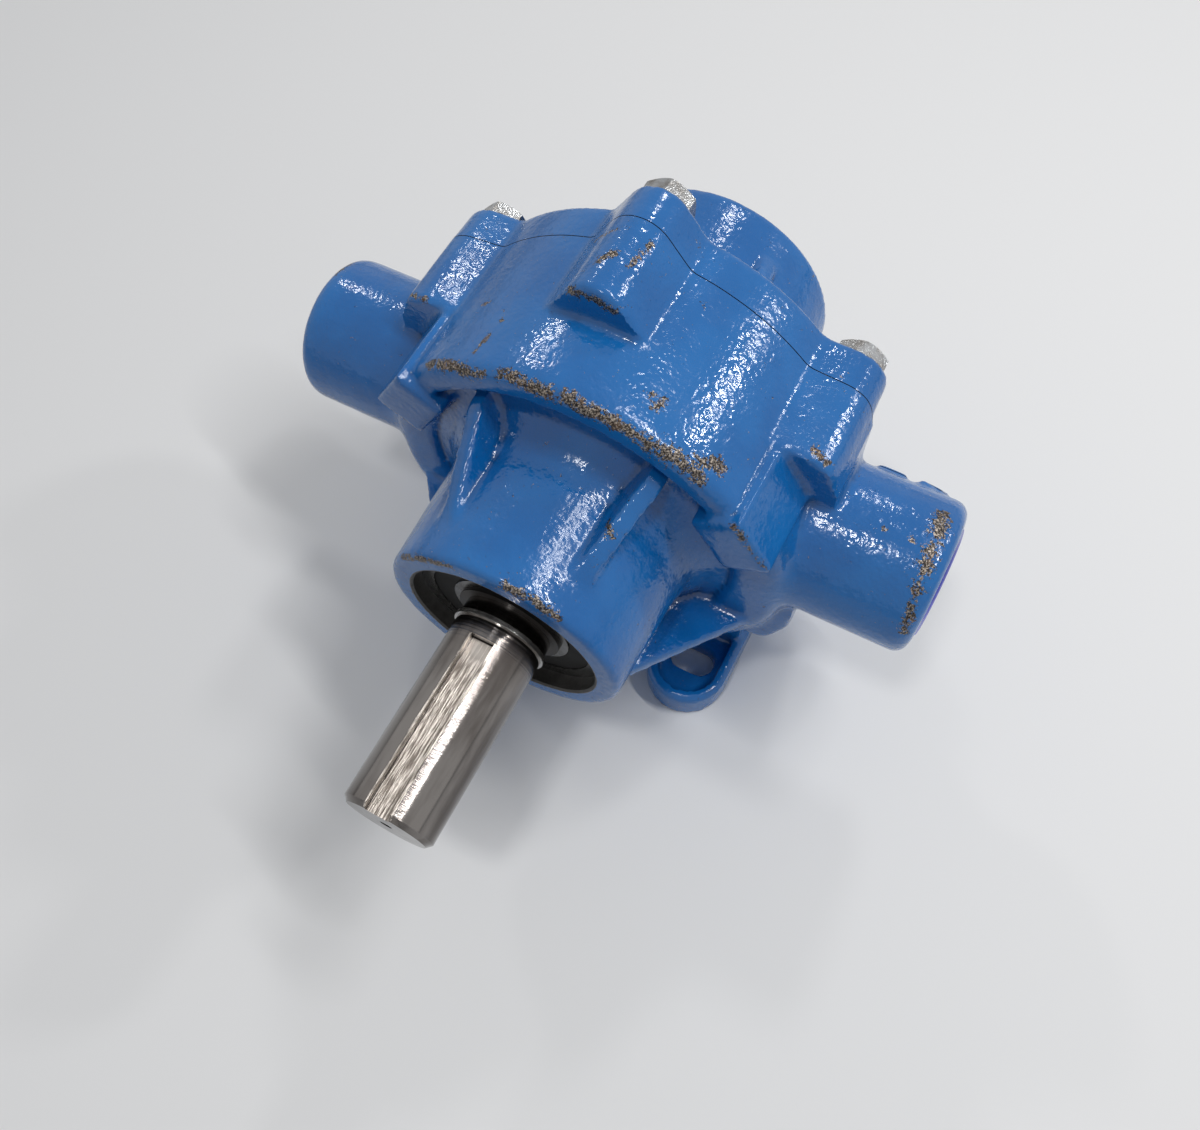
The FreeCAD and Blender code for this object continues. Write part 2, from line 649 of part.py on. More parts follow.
def rear_rib(name, angle):
    """A small triangular rib between the rear hub and the end plate."""
    rib = plate(
        name,
        "YZ_Plane",
        [
            ("dim.rear_rib_end", "dim.rear_hub_radius - 0.5"),
            ("dim.parting + dim.plate_thickness", "dim.rear_rib_reach"),
            ("dim.parting + 2", "dim.rear_rib_reach"),
            ("dim.parting + 2", "dim.bearing_radius + 2"),
            ("dim.rear_rib_end", "dim.bearing_radius + 2"),
        ],
        "dim.rib_thickness",
        both_ways=True,
    )
    return aim(place(rib), angle)


def side_web(name, side):
    """A level web from the side of the front hub back to the wall."""
    web = plate(
        name,
        "XY_Plane",
        [
            (f"{side} * dim.bearing_radius", "-dim.web_front"),
            (f"{side} * dim.web_hub_reach", "-dim.web_front"),
            (f"{side} * dim.web_reach", "-dim.body_front"),
            (f"{side} * dim.web_reach", "-dim.chamber_front - 2"),
            (f"{side} * dim.bearing_radius", "-dim.chamber_front - 2"),
        ],
        "dim.web_thickness",
        both_ways=True,
    )
    return place(web, z="dim.shaft_height - dim.web_drop")


def root_cove():
    """The hollow fillet between the front hub and the floor of the recess."""
    inner, back = "(dim.hub_root_radius - 0.5)", "-dim.chamber_front - 2"
    front = "(-dim.pocket_floor - dim.cove_radius)"
    corners = [("dim.bearing_radius", front), (inner, front)]
    for turn in (30, 60, 90):
        radius = f"{inner} + dim.cove_radius * (1 - cos({turn}))"
        corners.append((radius, f"{front} + dim.cove_radius * sin({turn})"))
    corners += [(f"{inner} + dim.cove_radius", back), ("dim.bearing_radius", back)]
    return turned("root_cove", corners)


def make_pump_body():
    hub = rounded(
        "front_hub",
        cone(
            "front_hub_blank", "dim.hub_radius", "dim.hub_root_radius",
            "-dim.hub_front", "-dim.chamber_front - 2",
        ),
        "hub_lip_round",
        circle_at(-SIZE["hub_front"], SIZE["hub_radius"]),
    )
    pieces = front_walls() + [hub, root_cove()]
    pieces.append(upper_rib("upper_rib_right", "dim.rib_angle"))
    pieces.append(upper_rib("upper_rib_left", "180 - dim.rib_angle"))
    pieces += [side_web("side_web_right", 1), side_web("side_web_left", -1)]
    pieces += body_bosses() + flanks()
    pieces += [port("outlet_port", 1), port("inlet_port", -1)] + flow_arrow()
    pieces += foot("right_foot", 1) + foot("left_foot", -1)
    blank = fuse("body_blank", pieces)
    tools = [
        cylinder("chamber", "dim.chamber_radius", "-dim.chamber_front", "dim.parting + 1", z=BODY_AXIS),
        box(
            "plate_room",
            "-dim.flank_reach - 0.6", "dim.flank_reach + 0.6",
            "dim.parting", "dim.parting + 12",
            "dim.shaft_height - dim.port_radius", "dim.shaft_height + dim.port_radius",
        ),
    ]
    tools += hub_bores(
        "front", "-dim.chamber_front", "-dim.hub_front + dim.bearing_recess + dim.bearing_width",
        "-dim.hub_front", -1,
    )
    tools += port_bores("outlet", 1) + port_bores("inlet", -1)
    tools += bolt_holes("body_hole", "dim.seat_gap", "dim.parting - 18", "dim.parting + 1")
    tools += foot_cuts("right_foot", 1) + foot_cuts("left_foot", -1)
    node(cut("body", blank, tools), "pump_body")


def make_end_plate():
    disc = rounded(
        "plate_disc",
        cylinder(
            "plate_blank", "dim.body_radius",
            "dim.parting", "dim.parting + dim.plate_thickness", z=BODY_AXIS,
        ),
        "plate_round",
        circle_at(SIZE["parting"] + SIZE["plate_thickness"], SIZE["body_radius"]),
    )
    hub = rounded(
        "rear_hub",
        cylinder("rear_hub_blank", "dim.rear_hub_radius", "dim.parting + 2", "dim.rear_hub_end"),
        "hub_lip_round",
        circle_at(SIZE["rear_hub_end"], SIZE["rear_hub_radius"]),
    )
    pieces = [disc, hub] + plate_bosses()
    rib_angles = ("dim.rib_angle", "180 - dim.rib_angle", "180 + dim.rib_angle", "360 - dim.rib_angle")
    pieces += [rear_rib(f"rear_rib_{i}", angle) for i, angle in enumerate(rib_angles)]
    blank = fuse("plate_casting", pieces)
    groove = cut(
        "oring_groove",
        cylinder(
            "oring_groove_outer", "dim.oring_circle + dim.groove_width / 2",
            "dim.parting - 1", "dim.parting + dim.groove_depth", z=BODY_AXIS,
        ),
        [cylinder(
            "oring_groove_inner", "dim.oring_circle - dim.groove_width / 2",
            "dim.parting - 1", "dim.parting + dim.groove_depth", z=BODY_AXIS,
        )],
    )
    tools = [groove]
    tools += hub_bores(
        "rear", "dim.parting", "dim.rear_bearing_rear - dim.bearing_width", "dim.rear_hub_end", 1
    )
    tools += bolt_holes("plate_hole", "dim.bolt_gap", "dim.parting - 1", "dim.parting + 20")
    node(cut("plate", blank, tools), "end_plate")


def make_o_ring():
    ring = torus(
        "o_ring", "dim.oring_circle", "dim.oring_radius - dim.seat_gap / 2",
        "dim.parting + dim.groove_depth / 2", BODY_AXIS,
    )
    node(ring, "end_plate_o_ring")


def make_bolts():
    """Hexagon bolts; each head is turned a little differently, as a wrench left it."""
    seat = "dim.parting + dim.plate_thickness + dim.boss_rise"
    twists = (35, 16, 0, 22, 48, 9)
    bolts = []
    for i, ((angle, x, z), twist) in enumerate(zip(bolt_places(), twists)):
        hexagon = doc.addObject("Part::Prism", f"bolt_hexagon_{i}")
        hexagon.Polygon = 6
        bind(hexagon, Circumradius="dim.bolt_head_width / 2 / cos(30)", Height="dim.bolt_head_height")
        place(hexagon, x, seat, z, TURN["y"] * FreeCAD.Rotation(ABOUT_Z, -twist))
        facing = "dim.bolt_head_width * 0.48"
        top = f"{seat} + dim.bolt_head_height"
        crown = cone(
            f"bolt_crown_{i}", f"{facing} + dim.bolt_head_height * tan(60)", facing, seat, top, x=x, z=z
        )
        head = common(f"bolt_head_{i}", hexagon, crown)
        tip = f"{seat} - dim.bolt_length"
        shank = cylinder(f"bolt_shank_{i}", "dim.bolt_radius", tip, f"{seat} + 1", x=x, z=z)
        bolts.append(fuse(f"bolt_{i}", [head, shank]))
    node(compound("bolts", bolts), "end_plate_bolts")


def make_drive_shaft():
    """The shaft with its ring grooves, turned; then the keyways and the centre drill."""
    front_ring = "-dim.hub_front + dim.bearing_recess"
    rear_ring = "dim.rear_bearing_rear"
    stop_ring = "-dim.hub_front - dim.stop_ring_gap - dim.ring_width"
    surface = "dim.shaft_radius"
    groove = "dim.shaft_radius - dim.ring_groove"
    corners = [("0", "-dim.shaft_front"), ("dim.shaft_radius - dim.shaft_chamfer", "-dim.shaft_front")]
    corners.append((surface, "-dim.shaft_front + dim.shaft_chamfer"))
    for start, end in (
        (stop_ring, f"{stop_ring} + dim.ring_width"),
        (f"{front_ring} - dim.ring_width", front_ring),
        (rear_ring, f"{rear_ring} + dim.ring_width"),
    ):
        corners += [(surface, start), (groove, start), (groove, end), (surface, end)]
    rear_end = f"{rear_ring} + dim.ring_width + 1.8"
    corners += [(surface, rear_end), ("0", rear_end)]
    blank = place(turned("shaft_blank", corners), turn=FreeCAD.Rotation(ABOUT_Y, 36))
    half = "dim.keyway_width / 2"
    keyway = box(
        "keyway", f"-{half}", half, "-dim.shaft_front - 1", "-dim.hub_front - dim.keyway_gap",
        "dim.shaft_height + dim.shaft_radius - dim.keyway_depth", "dim.shaft_height + dim.shaft_radius + 1",
    )
    key_seat = box(
        "key_seat", "-dim.key_width / 2", "dim.key_width / 2", "-dim.key_length / 2", "dim.key_length / 2",
        "dim.shaft_height + dim.shaft_radius - dim.key_bite", "dim.shaft_height + dim.shaft_radius + 1",
    )
    drill = cylinder(
        "centre_drill", "dim.centre_drill_radius",
        "-dim.shaft_front - 1", "-dim.shaft_front + dim.centre_drill_depth",
    )
    node(cut("shaft", blank, [keyway, key_seat, drill]), "drive_shaft")


def make_shaft_ring(label, front, outer):
    """A split ring in a groove of the shaft, its gap underneath."""
    end = f"{front} + dim.ring_width"
    disc = cylinder(f"{label}_disc", outer, f"{front} + dim.seat_gap", f"{end} - dim.seat_gap")
    hole = cylinder(f"{label}_hole", "dim.shaft_radius - dim.ring_groove + dim.seat_gap", front, end)
    gap = box(f"{label}_gap", "-2", "2", front, end, "dim.shaft_height - 20", "dim.shaft_height")
    node(cut(f"{label}_ring", disc, [hole, gap]), label)


def rotor_angles():
    return [22.5 + 360 / ROLLERS * i for i in range(ROLLERS)]


def make_rotor():
    """A drum with a round-bottomed slot for each roller, keyed to the shaft."""
    front, rear = "-dim.chamber_front + dim.end_clearance", "dim.parting - dim.end_clearance"
    drum = cylinder("rotor_drum", "dim.rotor_radius", front, rear)
    tools = [cylinder("rotor_bore", "dim.shaft_radius + dim.seat_gap", "-dim.chamber_front", "dim.parting")]
    half = "dim.roller_radius + dim.slot_clearance"
    for i, angle in enumerate(rotor_angles()):
        x, z = around(angle, "dim.roller_circle")
        tools.append(cylinder(f"slot_bottom_{i}", half, "-dim.chamber_front", "dim.parting", x=x, z=z))
        mouth = plate(
            f"slot_mouth_{i}",
            "XZ_Plane",
            [
                (f"-({half})", "dim.roller_circle"), (half, "dim.roller_circle"),
                (half, "dim.rotor_radius + 2"), (f"-({half})", "dim.rotor_radius + 2"),
            ],
            "dim.chamber_front + dim.parting",
            reverse=True,
        )
        tools.append(place(mouth, y="-dim.chamber_front", turn=FreeCAD.Rotation(ABOUT_Y, 90 - angle)))
    tools.append(box(
        "rotor_keyway", "-dim.key_width / 2", "dim.key_width / 2", "-dim.chamber_front", "dim.parting",
        "dim.shaft_height", "dim.shaft_height + dim.shaft_radius + dim.key_bite",
    ))
    node(cut("rotor_body", drum, tools), "rotor")


def make_rotor_key():
    side = "(dim.key_width / 2 - dim.seat_gap)"
    key = box(
        "key", f"-{side}", side, "-dim.key_length / 2 + dim.seat_gap", "dim.key_length / 2 - dim.seat_gap",
        "dim.shaft_height + dim.shaft_radius - dim.key_bite + dim.seat_gap",
        "dim.shaft_height + dim.shaft_radius + dim.key_bite - dim.seat_gap",
    )
    node(key, "rotor_key")


def make_rollers():
    front, rear = "-dim.chamber_front + dim.end_clearance", "dim.parting - dim.end_clearance"
    stations = (-SIZE["chamber_front"] + SIZE["end_clearance"], SIZE["parting"] - SIZE["end_clearance"])
    for i, angle in enumerate(rotor_angles(), start=1):
        x, z = around(angle, "dim.roller_circle")
        blank = cylinder(f"roller_blank_{i}", "dim.roller_radius", front, rear, x=x, z=z)

        def end_edge(edge):
            return any(circle_at(station, SIZE["roller_radius"])(edge) for station in stations)

        node(rounded(f"roller_solid_{i}", blank, "roller_round", end_edge), f"roller_{i}")


def make_bearing(label, middle):
    """A sealed ball bearing: two rings, balls, cage and two seals, about one middle station."""
    half = "dim.bearing_width / 2"
    circle = "(dim.shaft_radius + dim.bearing_radius) / 2"
    inner_land = "(dim.shaft_radius + dim.ring_wall)"
    outer_land = "(dim.bearing_radius - dim.ring_wall)"
    shield = f"({outer_land} + dim.shield_seat)"
    pocket_radius = "dim.ball_radius + dim.running_gap"
    race = [torus(f"{label}_{which}_race", circle, pocket_radius, middle) for which in ("outer", "inner")]
    outside, seat = "dim.bearing_radius - dim.seat_gap", f"{shield} + dim.seat_gap"
    depth = f"{half} - dim.shield_inset - dim.shield_thickness - 2 * dim.seat_gap"
    outer = turned(f"{label}_outer_blank", [
        (outside, f"-({half})"), (outside, half), (seat, half), (seat, depth),
        (outer_land, depth), (outer_land, f"-({depth})"), (seat, f"-({depth})"), (seat, f"-({half})"),
    ])
    place(outer, y=middle)
    node(cut(f"{label}_outer", outer, [race[0]]), f"{label}_outer_ring")
    bore = "dim.shaft_radius + dim.seat_gap"
    inner = turned(f"{label}_inner_blank", [
        (bore, f"-({half})"), (inner_land, f"-({half})"), (inner_land, half), (bore, half),
    ])
    place(inner, y=middle)
    node(cut(f"{label}_inner", inner, [race[1]]), f"{label}_inner_ring")
    balls = []
    pockets = []
    for i in range(BALLS):
        angle = 360 / BALLS * i
        x, z = around(angle, circle)
        ball = doc.addObject("Part::Sphere", f"{label}_ball_{i}")
        bind(ball, Radius="dim.ball_radius")
        balls.append(place(ball, x, middle, z))
        pocket = doc.addObject("Part::Cylinder", f"{label}_pocket_{i}")
        bind(pocket, Radius=pocket_radius, Height="dim.bearing_radius")
        pockets.append(aim(place(pocket, y=middle), angle))
    node(compound(f"{label}_ball_group", balls), f"{label}_balls")
    start, end = f"{middle} - dim.cage_width / 2", f"{middle} + dim.cage_width / 2"
    ring = cut(
        f"{label}_cage_ring",
        cylinder(f"{label}_cage_outside", f"{outer_land} - dim.cage_gap", start, end),
        [cylinder(f"{label}_cage_inside", f"{inner_land} + dim.cage_gap", start, end)],
    )
    node(cut(f"{label}_cage_body", ring, pockets), f"{label}_cage")
    lip = f"{inner_land} + dim.running_gap"
    for which, way in (("front", -1), ("rear", 1)):
        face = f"{way} * ({half} - dim.shield_inset)"
        back = f"{way} * ({half} - dim.shield_inset - dim.shield_thickness)"
        seal = turned(f"{label}_{which}_shield", [(lip, face), (shield, face), (shield, back), (lip, back)])
        node(place(seal, y=middle), f"{label}_{which}_seal")


def make_shaft_seal(label, dry_face, turn):
    """A lip seal: steel case, rubber lip towards the chamber and its garter spring."""
    outside = "dim.seal_radius - dim.seat_gap"
    inside = "dim.seal_radius - dim.seal_skin - dim.seat_gap"
    case = turned(f"{label}_case_body", [
        ("dim.seal_flange_radius", "0"), (outside, "0"), (outside, "dim.seal_width - dim.seat_gap"),
        (inside, "dim.seal_width - dim.seat_gap"), (inside, "dim.seal_skin"),
        ("dim.seal_flange_radius", "dim.seal_skin"),
    ])
    node(place(case, y=dry_face, turn=turn), f"{label}_case")
    bore = "dim.shaft_radius + dim.running_gap"
    back = "dim.seal_skin + dim.seat_gap"
    root = f"{inside} - dim.seat_gap"
    lip = turned(f"{label}_lip_body", [
        (bore, back), (root, back), (root, "dim.lip_root"), ("dim.lip_radius", "dim.lip_root"),
        ("dim.lip_radius", "dim.lip_length"), (bore, "dim.lip_length"),
    ])
    node(place(lip, y=dry_face, turn=turn), f"{label}_lip")
    way = -1 if turn == BACK_TO_FRONT else 1
    spring = torus(
        f"{label}_coil", "dim.lip_radius + dim.spring_radius + dim.seat_gap", "dim.spring_radius",
        f"{dry_face} + {way} * (dim.lip_root + dim.lip_length) / 2",
    )
    node(spring, f"{label}_spring")


def make_dust_cap():
    """A pressed cup that closes the rear hub."""
    outside = "dim.bearing_radius - dim.seat_gap"
    sheet_metal = "dim.seal_skin"
    cap = turned("dust_cap_body", [
        ("0", "0"), (outside, "0"), (outside, "dim.cap_thickness"),
        (f"{outside} - {sheet_metal}", "dim.cap_thickness"), (f"{outside} - {sheet_metal}", sheet_metal),
        ("0", sheet_metal),
    ])
    place(cap, y="dim.rear_hub_end - dim.cap_inset - dim.cap_thickness")
    node(cap, "rear_dust_cap")


def make_plug():
    """A hollow push-in plug with a flange, in the outlet port."""
    stub = "dim.thread_radius - dim.plug_clearance"
    hollow = f"{stub} - dim.plug_wall"
    plug = turned("plug_body", [
        ("0", "-dim.plug_depth"), (stub, "-dim.plug_depth"), (stub, "dim.plug_clearance"),
        ("dim.plug_flange_radius", "dim.plug_clearance"), ("dim.plug_flange_radius", "dim.plug_flange"),
        (hollow, "dim.plug_flange"), (hollow, "-dim.plug_depth + dim.plug_wall"),
        ("0", "-dim.plug_depth + dim.plug_wall"),
    ])
    place(plug, x="dim.port_reach", y="-dim.port_front", turn=FreeCAD.Rotation(ABOUT_Z, -90))
    node(plug, "outlet_plug")


def check_and_write():
    doc.recompute()
    for thing in doc.Objects:
        if "Invalid" in thing.State or "Error" in thing.State:
            raise RuntimeError(f"{thing.Name} failed: {thing.State}")
    for thing in nodes:
        shape = thing.Shape
        if shape.isNull() or not shape.isValid() or not shape.Solids:
            raise RuntimeError(f"{thing.Label} has no valid solid")
    for thing in nodes:
        thing.Shape.exportStep(f"parts/{thing.Label}.step")
        extent = thing.Shape.BoundBox
        print(
            f"{thing.Label}: {len(thing.Shape.Solids)} solid(s), {thing.Shape.Volume:.0f} mm3, "
            f"x {extent.XMin:.1f} {extent.XMax:.1f}, y {extent.YMin:.1f} {extent.YMax:.1f}, "
            f"z {extent.ZMin:.1f} {extent.ZMax:.1f}"
        )


make_pump_body()
make_end_plate()
make_o_ring()
make_bolts()
make_drive_shaft()
make_rotor()
make_rotor_key()
make_rollers()
make_bearing("front_bearing", "(-dim.hub_front + dim.bearing_recess + dim.bearing_width / 2)")
make_bearing("rear_bearing", "(dim.rear_bearing_rear - dim.bearing_width / 2)")
make_shaft_seal("front_shaft_seal", "(-dim.chamber_front - dim.wall_land - dim.seal_width)", UPRIGHT)
make_shaft_seal("rear_shaft_seal", "(dim.parting + dim.wall_land + dim.seal_width)", BACK_TO_FRONT)
make_shaft_ring(
    "shaft_stop_ring", "(-dim.hub_front - dim.stop_ring_gap - dim.ring_width)", "dim.stop_ring_radius"
)
make_shaft_ring(
    "front_retaining_ring", "(-dim.hub_front + dim.bearing_recess - dim.ring_width)", "dim.ring_radius"
)
make_shaft_ring("rear_retaining_ring", "dim.rear_bearing_rear", "dim.ring_radius")
make_dust_cap()
make_plug()
check_and_write()
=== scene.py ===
"""Looks of the roller pump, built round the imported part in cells."""
# %% [markdown]
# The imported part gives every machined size: where the shaft runs, how far the ports
# reach, where the bolts sit.  A pump could also be drawn by eye, but its bolts would
# soon miss their holes.  So the part is loaded first and stays fixed, and all that
# follows is made in its frame, in metres: a piece goes where the part says.
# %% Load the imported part
import bmesh
import bpy
import json
import math
import numpy as np
from mathutils import Matrix, Vector, noise


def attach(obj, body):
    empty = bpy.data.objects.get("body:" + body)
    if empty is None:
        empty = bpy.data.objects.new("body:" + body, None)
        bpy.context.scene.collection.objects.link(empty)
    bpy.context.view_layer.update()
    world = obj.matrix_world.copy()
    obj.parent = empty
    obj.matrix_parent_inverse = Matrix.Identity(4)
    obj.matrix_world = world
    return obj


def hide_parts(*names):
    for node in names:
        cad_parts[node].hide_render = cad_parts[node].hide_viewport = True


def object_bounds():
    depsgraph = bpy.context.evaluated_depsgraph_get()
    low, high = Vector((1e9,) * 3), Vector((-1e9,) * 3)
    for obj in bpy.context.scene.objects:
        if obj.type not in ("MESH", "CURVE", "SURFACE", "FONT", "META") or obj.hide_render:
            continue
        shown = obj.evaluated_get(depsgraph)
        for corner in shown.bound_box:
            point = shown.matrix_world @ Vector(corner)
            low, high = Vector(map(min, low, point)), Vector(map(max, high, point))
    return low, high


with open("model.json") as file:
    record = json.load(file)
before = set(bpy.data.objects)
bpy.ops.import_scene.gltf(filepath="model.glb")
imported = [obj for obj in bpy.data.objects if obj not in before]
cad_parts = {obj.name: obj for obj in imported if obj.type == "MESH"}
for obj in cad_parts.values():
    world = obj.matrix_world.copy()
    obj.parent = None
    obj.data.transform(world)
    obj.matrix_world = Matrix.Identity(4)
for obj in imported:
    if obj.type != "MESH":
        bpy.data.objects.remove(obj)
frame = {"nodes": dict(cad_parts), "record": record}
part_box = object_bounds()
MM = 0.001
SHAFT_HEIGHT, BODY_HEIGHT = 73.0, 70.0
print("part box in mm:", [[round(c / MM, 1) for c in corner] for corner in part_box])

# %% [markdown]
# Every piece ends the same way: its mesh holds its place, its object sits at the
# origin, it rides on a body and stands in for the plain solid of the part.  Moving the
# object instead would be quicker to write, but a turned or scaled object upsets
# booleans and noise.  Points are written in millimetres and become metres once.
# %% Helpers for meshes


def new_piece(name, mesh):
    piece = bpy.data.objects.new(name, mesh)
    bpy.context.scene.collection.objects.link(piece)
    return piece


def piece_from(name, points, faces):
    """An object from points in millimetres."""
    mesh = bpy.data.meshes.new(name)
    mesh.from_pydata([tuple(c * MM for c in p) for p in points], [], faces)
    mesh.validate()
    return new_piece(name, mesh)


def outward(piece):
    """Merge doubles and turn all faces outwards."""
    work = bmesh.new()
    work.from_mesh(piece.data)
    bmesh.ops.remove_doubles(work, verts=work.verts, dist=1e-6)
    bmesh.ops.recalc_face_normals(work, faces=work.faces)
    work.to_mesh(piece.data)
    work.free()
    return piece


def settle(piece):
    """Apply all modifiers, leaving a plain mesh."""
    bpy.context.view_layer.update()
    graph = bpy.context.evaluated_depsgraph_get()
    mesh = bpy.data.meshes.new_from_object(piece.evaluated_get(graph))
    piece.modifiers.clear()
    piece.data = mesh
    return piece


def modified(piece, kind, **settings):
    """Add one modifier and apply it."""
    modifier = piece.modifiers.new(kind.lower(), kind)
    for name, value in settings.items():
        setattr(modifier, name, value)
    return settle(piece)


def join(name, pieces):
    """One object that holds all the pieces' meshes."""
    work = bmesh.new()
    for piece in pieces:
        work.from_mesh(piece.data)
    mesh = bpy.data.meshes.new(name)
    work.to_mesh(mesh)
    work.free()
    for piece in pieces:
        bpy.data.objects.remove(piece)
    return new_piece(name, mesh)


def carve(piece, tools, operation="DIFFERENCE"):
    """Cut the tools out of the piece with one boolean, and delete them."""
    tool = join("tool", tools)
    modified(piece, "BOOLEAN", operation=operation, solver="MANIFOLD", object=tool)
    bpy.data.objects.remove(tool)
    return piece


def finish_piece(piece, body, slot, material, *nodes, smooth=35.0):
    """Material, shading and ride of a finished piece; the argument slot is not used."""
    mesh = piece.data
    mesh.materials.clear()
    mesh.materials.append(material)
    if smooth:
        mesh.shade_smooth()
        mesh.set_sharp_from_angle(angle=math.radians(smooth))
    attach(piece, body)
    if nodes:
        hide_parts(*nodes)
    mesh.calc_loop_triangles()
    print(f"{piece.name}: {len(mesh.loop_triangles)} triangles")
    return piece


# %% [markdown]
# Most machined surfaces of a pump are turned on a lathe.  Blender's Screw modifier
# could spin a profile too, but a list of corners keeps each size in sight, so one
# helper makes closed solids of revolution about an axis along X, Y or Z.  A profile is
# a list of (station along the axis, radius) corners; a radius of 0 closes a pole.
# %% Helpers for turned solids


def turned(name, profile, axis="y", centre=(0.0, 0.0, SHAFT_HEIGHT), steps=128):
    """A closed solid of revolution from (station, radius) corners in millimetres."""
    rings, points = [], []
    for station, radius in profile:
        if radius < 1e-6:
            rings.append([len(points)])
            points.append((station, 0.0, 0.0))
            continue
        rings.append(list(range(len(points), len(points) + steps)))
        for i in range(steps):
            angle = 2 * math.pi * i / steps
            points.append((station, radius * math.cos(angle), radius * math.sin(angle)))
    closed = profile[0][1] > 1e-6
    faces = []
    for first, last in zip(rings, rings[1:] + ([rings[0]] if closed else [])):
        for i in range(steps):
            j = (i + 1) % steps
            if len(first) == 1 and len(last) == 1:
                continue
            if len(first) == 1:
                faces.append((first[0], last[j], last[i]))
            elif len(last) == 1:
                faces.append((first[i], first[j], last[0]))
            else:
                faces.append((first[i], first[j], last[j], last[i]))
    cx, cy, cz = centre
    if axis == "x":
        placed = [(s, cy + b, cz + c) for s, b, c in points]
    elif axis == "y":
        placed = [(cx + b, s, cz + c) for s, b, c in points]
    else:
        placed = [(cx + b, cy + c, s) for s, b, c in points]
    return outward(piece_from(name, placed, faces))


def block(name, low, high):
    """A closed box, used only as a cutting tool."""
    (x0, y0, z0), (x1, y1, z1) = low, high
    points = [(x, y, z) for x in (x0, x1) for y in (y0, y1) for z in (z0, z1)]
    faces = [(0, 1, 3, 2), (4, 6, 7, 5), (0, 4, 5, 1), (2, 3, 7, 6), (0, 2, 6, 4), (1, 5, 7, 3)]
    return outward(piece_from(name, points, faces))


# %% [markdown]
# A material is a tree of nodes.  It could be wired up node by node, but its sums read
# best as plain expressions, so one small class wraps a socket and turns + - * and **
# into Math nodes.  A finish holds one material while it's being built, and its method
# add makes every other kind of node.
# %% Helpers for materials


class Wire:
    """An output socket that can be used in sums."""

    def __init__(self, finish, socket):
        self.finish, self.socket = finish, socket

    def math(self, operation, other=0.0, swapped=False):
        pair = (other, self) if swapped else (self, other)
        return self.finish.add("ShaderNodeMath", {"operation": operation}, {0: pair[0], 1: pair[1]})

    def __add__(self, other):
        return self.math("ADD", other)

    def __sub__(self, other):
        return self.math("SUBTRACT", other)

    def __rsub__(self, other):
        return self.math("SUBTRACT", other, swapped=True)

    def __mul__(self, other):
        return self.math("MULTIPLY", other)

    def __pow__(self, other):
        return self.math("POWER", other)

    def high(self, other):
        return self.math("MAXIMUM", other)

    def rise(self, low, high, bottom=0.0, top=1.0):
        """A soft step from bottom to top as the value goes from low to high."""
        return self.finish.add(
            "ShaderNodeMapRange",
            {"interpolation_type": "SMOOTHSTEP"},
            {"Value": self, "From Min": low, "From Max": high, "To Min": bottom, "To Max": top},
        )


class Finish:
    """A material being built; constants go straight onto the shader."""

    def __init__(self, name, **constants):
        self.material = bpy.data.materials.new(name)
        self.material.use_nodes = True
        self.tree = self.material.node_tree
        self.shader = self.tree.nodes["Principled BSDF"]
        self.set(**constants)
        place = self.tree.nodes.new("ShaderNodeTexCoord")
        self.place = Wire(self, place.outputs["Object"])

    def add(self, kind, settings=None, inputs=None, output=0):
        """A node with its settings and inputs; the answer is one of its outputs."""
        made = self.tree.nodes.new(kind)
        for name, value in (settings or {}).items():
            setattr(made, name, value)
        for key, value in (inputs or {}).items():
            self.feed(made.inputs[key], value)
        return Wire(self, made.outputs[output])

    def feed(self, socket, value):
        if isinstance(value, Wire):
            self.tree.links.new(value.socket, socket)
        else:
            socket.default_value = value

    def set(self, **values):
        """Values or wires for the shader; Base_Color stands for Base Color."""
        for socket, value in values.items():
            self.feed(self.shader.inputs[socket.replace("_", " ")], value)

    def noise(self, scale, detail=3.0, rough=0.5, stretch=(1, 1, 1)):
        """Noise in object space; scale is in repeats a metre."""
        where = self.add("ShaderNodeMapping", None, {"Vector": self.place, "Scale": stretch})
        return self.add(
            "ShaderNodeTexNoise", None,
            {"Vector": where, "Scale": scale, "Detail": detail, "Roughness": rough},
        )

    def blend(self, share, first, second):
        """Colour between first and second."""
        return self.add(
            "ShaderNodeMix", {"data_type": "RGBA"}, {0: share, 6: first, 7: second}, output=2
        )

    def stored(self, name):
        """A value that each point of the mesh carries."""
        return self.add("ShaderNodeAttribute", {"attribute_name": name}, output=2)

    def axes(self):
        """Three wires with the place's x, y and z in metres."""
        parts = self.add("ShaderNodeSeparateXYZ", None, {0: self.place}).socket.node
        return [Wire(self, output) for output in parts.outputs]

    def bump(self, height, distance):
        """A normal from a height; the distance is how high 1 stands, in metres."""
        return self.add("ShaderNodeBump", None, {"Height": height, "Distance": distance, "Strength": 1.0})


# %% [markdown]
# The two castings were poured in sand and thickly painted.  Sand gives soft corners
# inside and outside.  Bevels could round them one by one, but they fail where many
# corners meet, so the plain solids are merged, turned into one skin of small even
# squares and relaxed: every corner then becomes a fillet, as it does in a mould.  The
# bores are filled before that and cut again afterwards, because a machine cut them
# sharp through the finished casting.
# %% Soft skin of the castings
SKIN, RELAX = 1.0, 4
HUB_FRONT, HUB_REAR, PORT_REACH = -65.1, 61.0, 90.8
PORT_CENTRE = (0.0, -2.3, SHAFT_HEIGHT)
BOLT_CIRCLE, BOLT_SEAT = 59.6, 27.7
BOLT_ANGLES = (30.9, 92.6, 149.1, 210.9, 272.6, 329.1)


def merged_copy(node):
    piece = new_piece("copy_of_" + node, frame["nodes"][node].data.copy())
    return outward(piece)


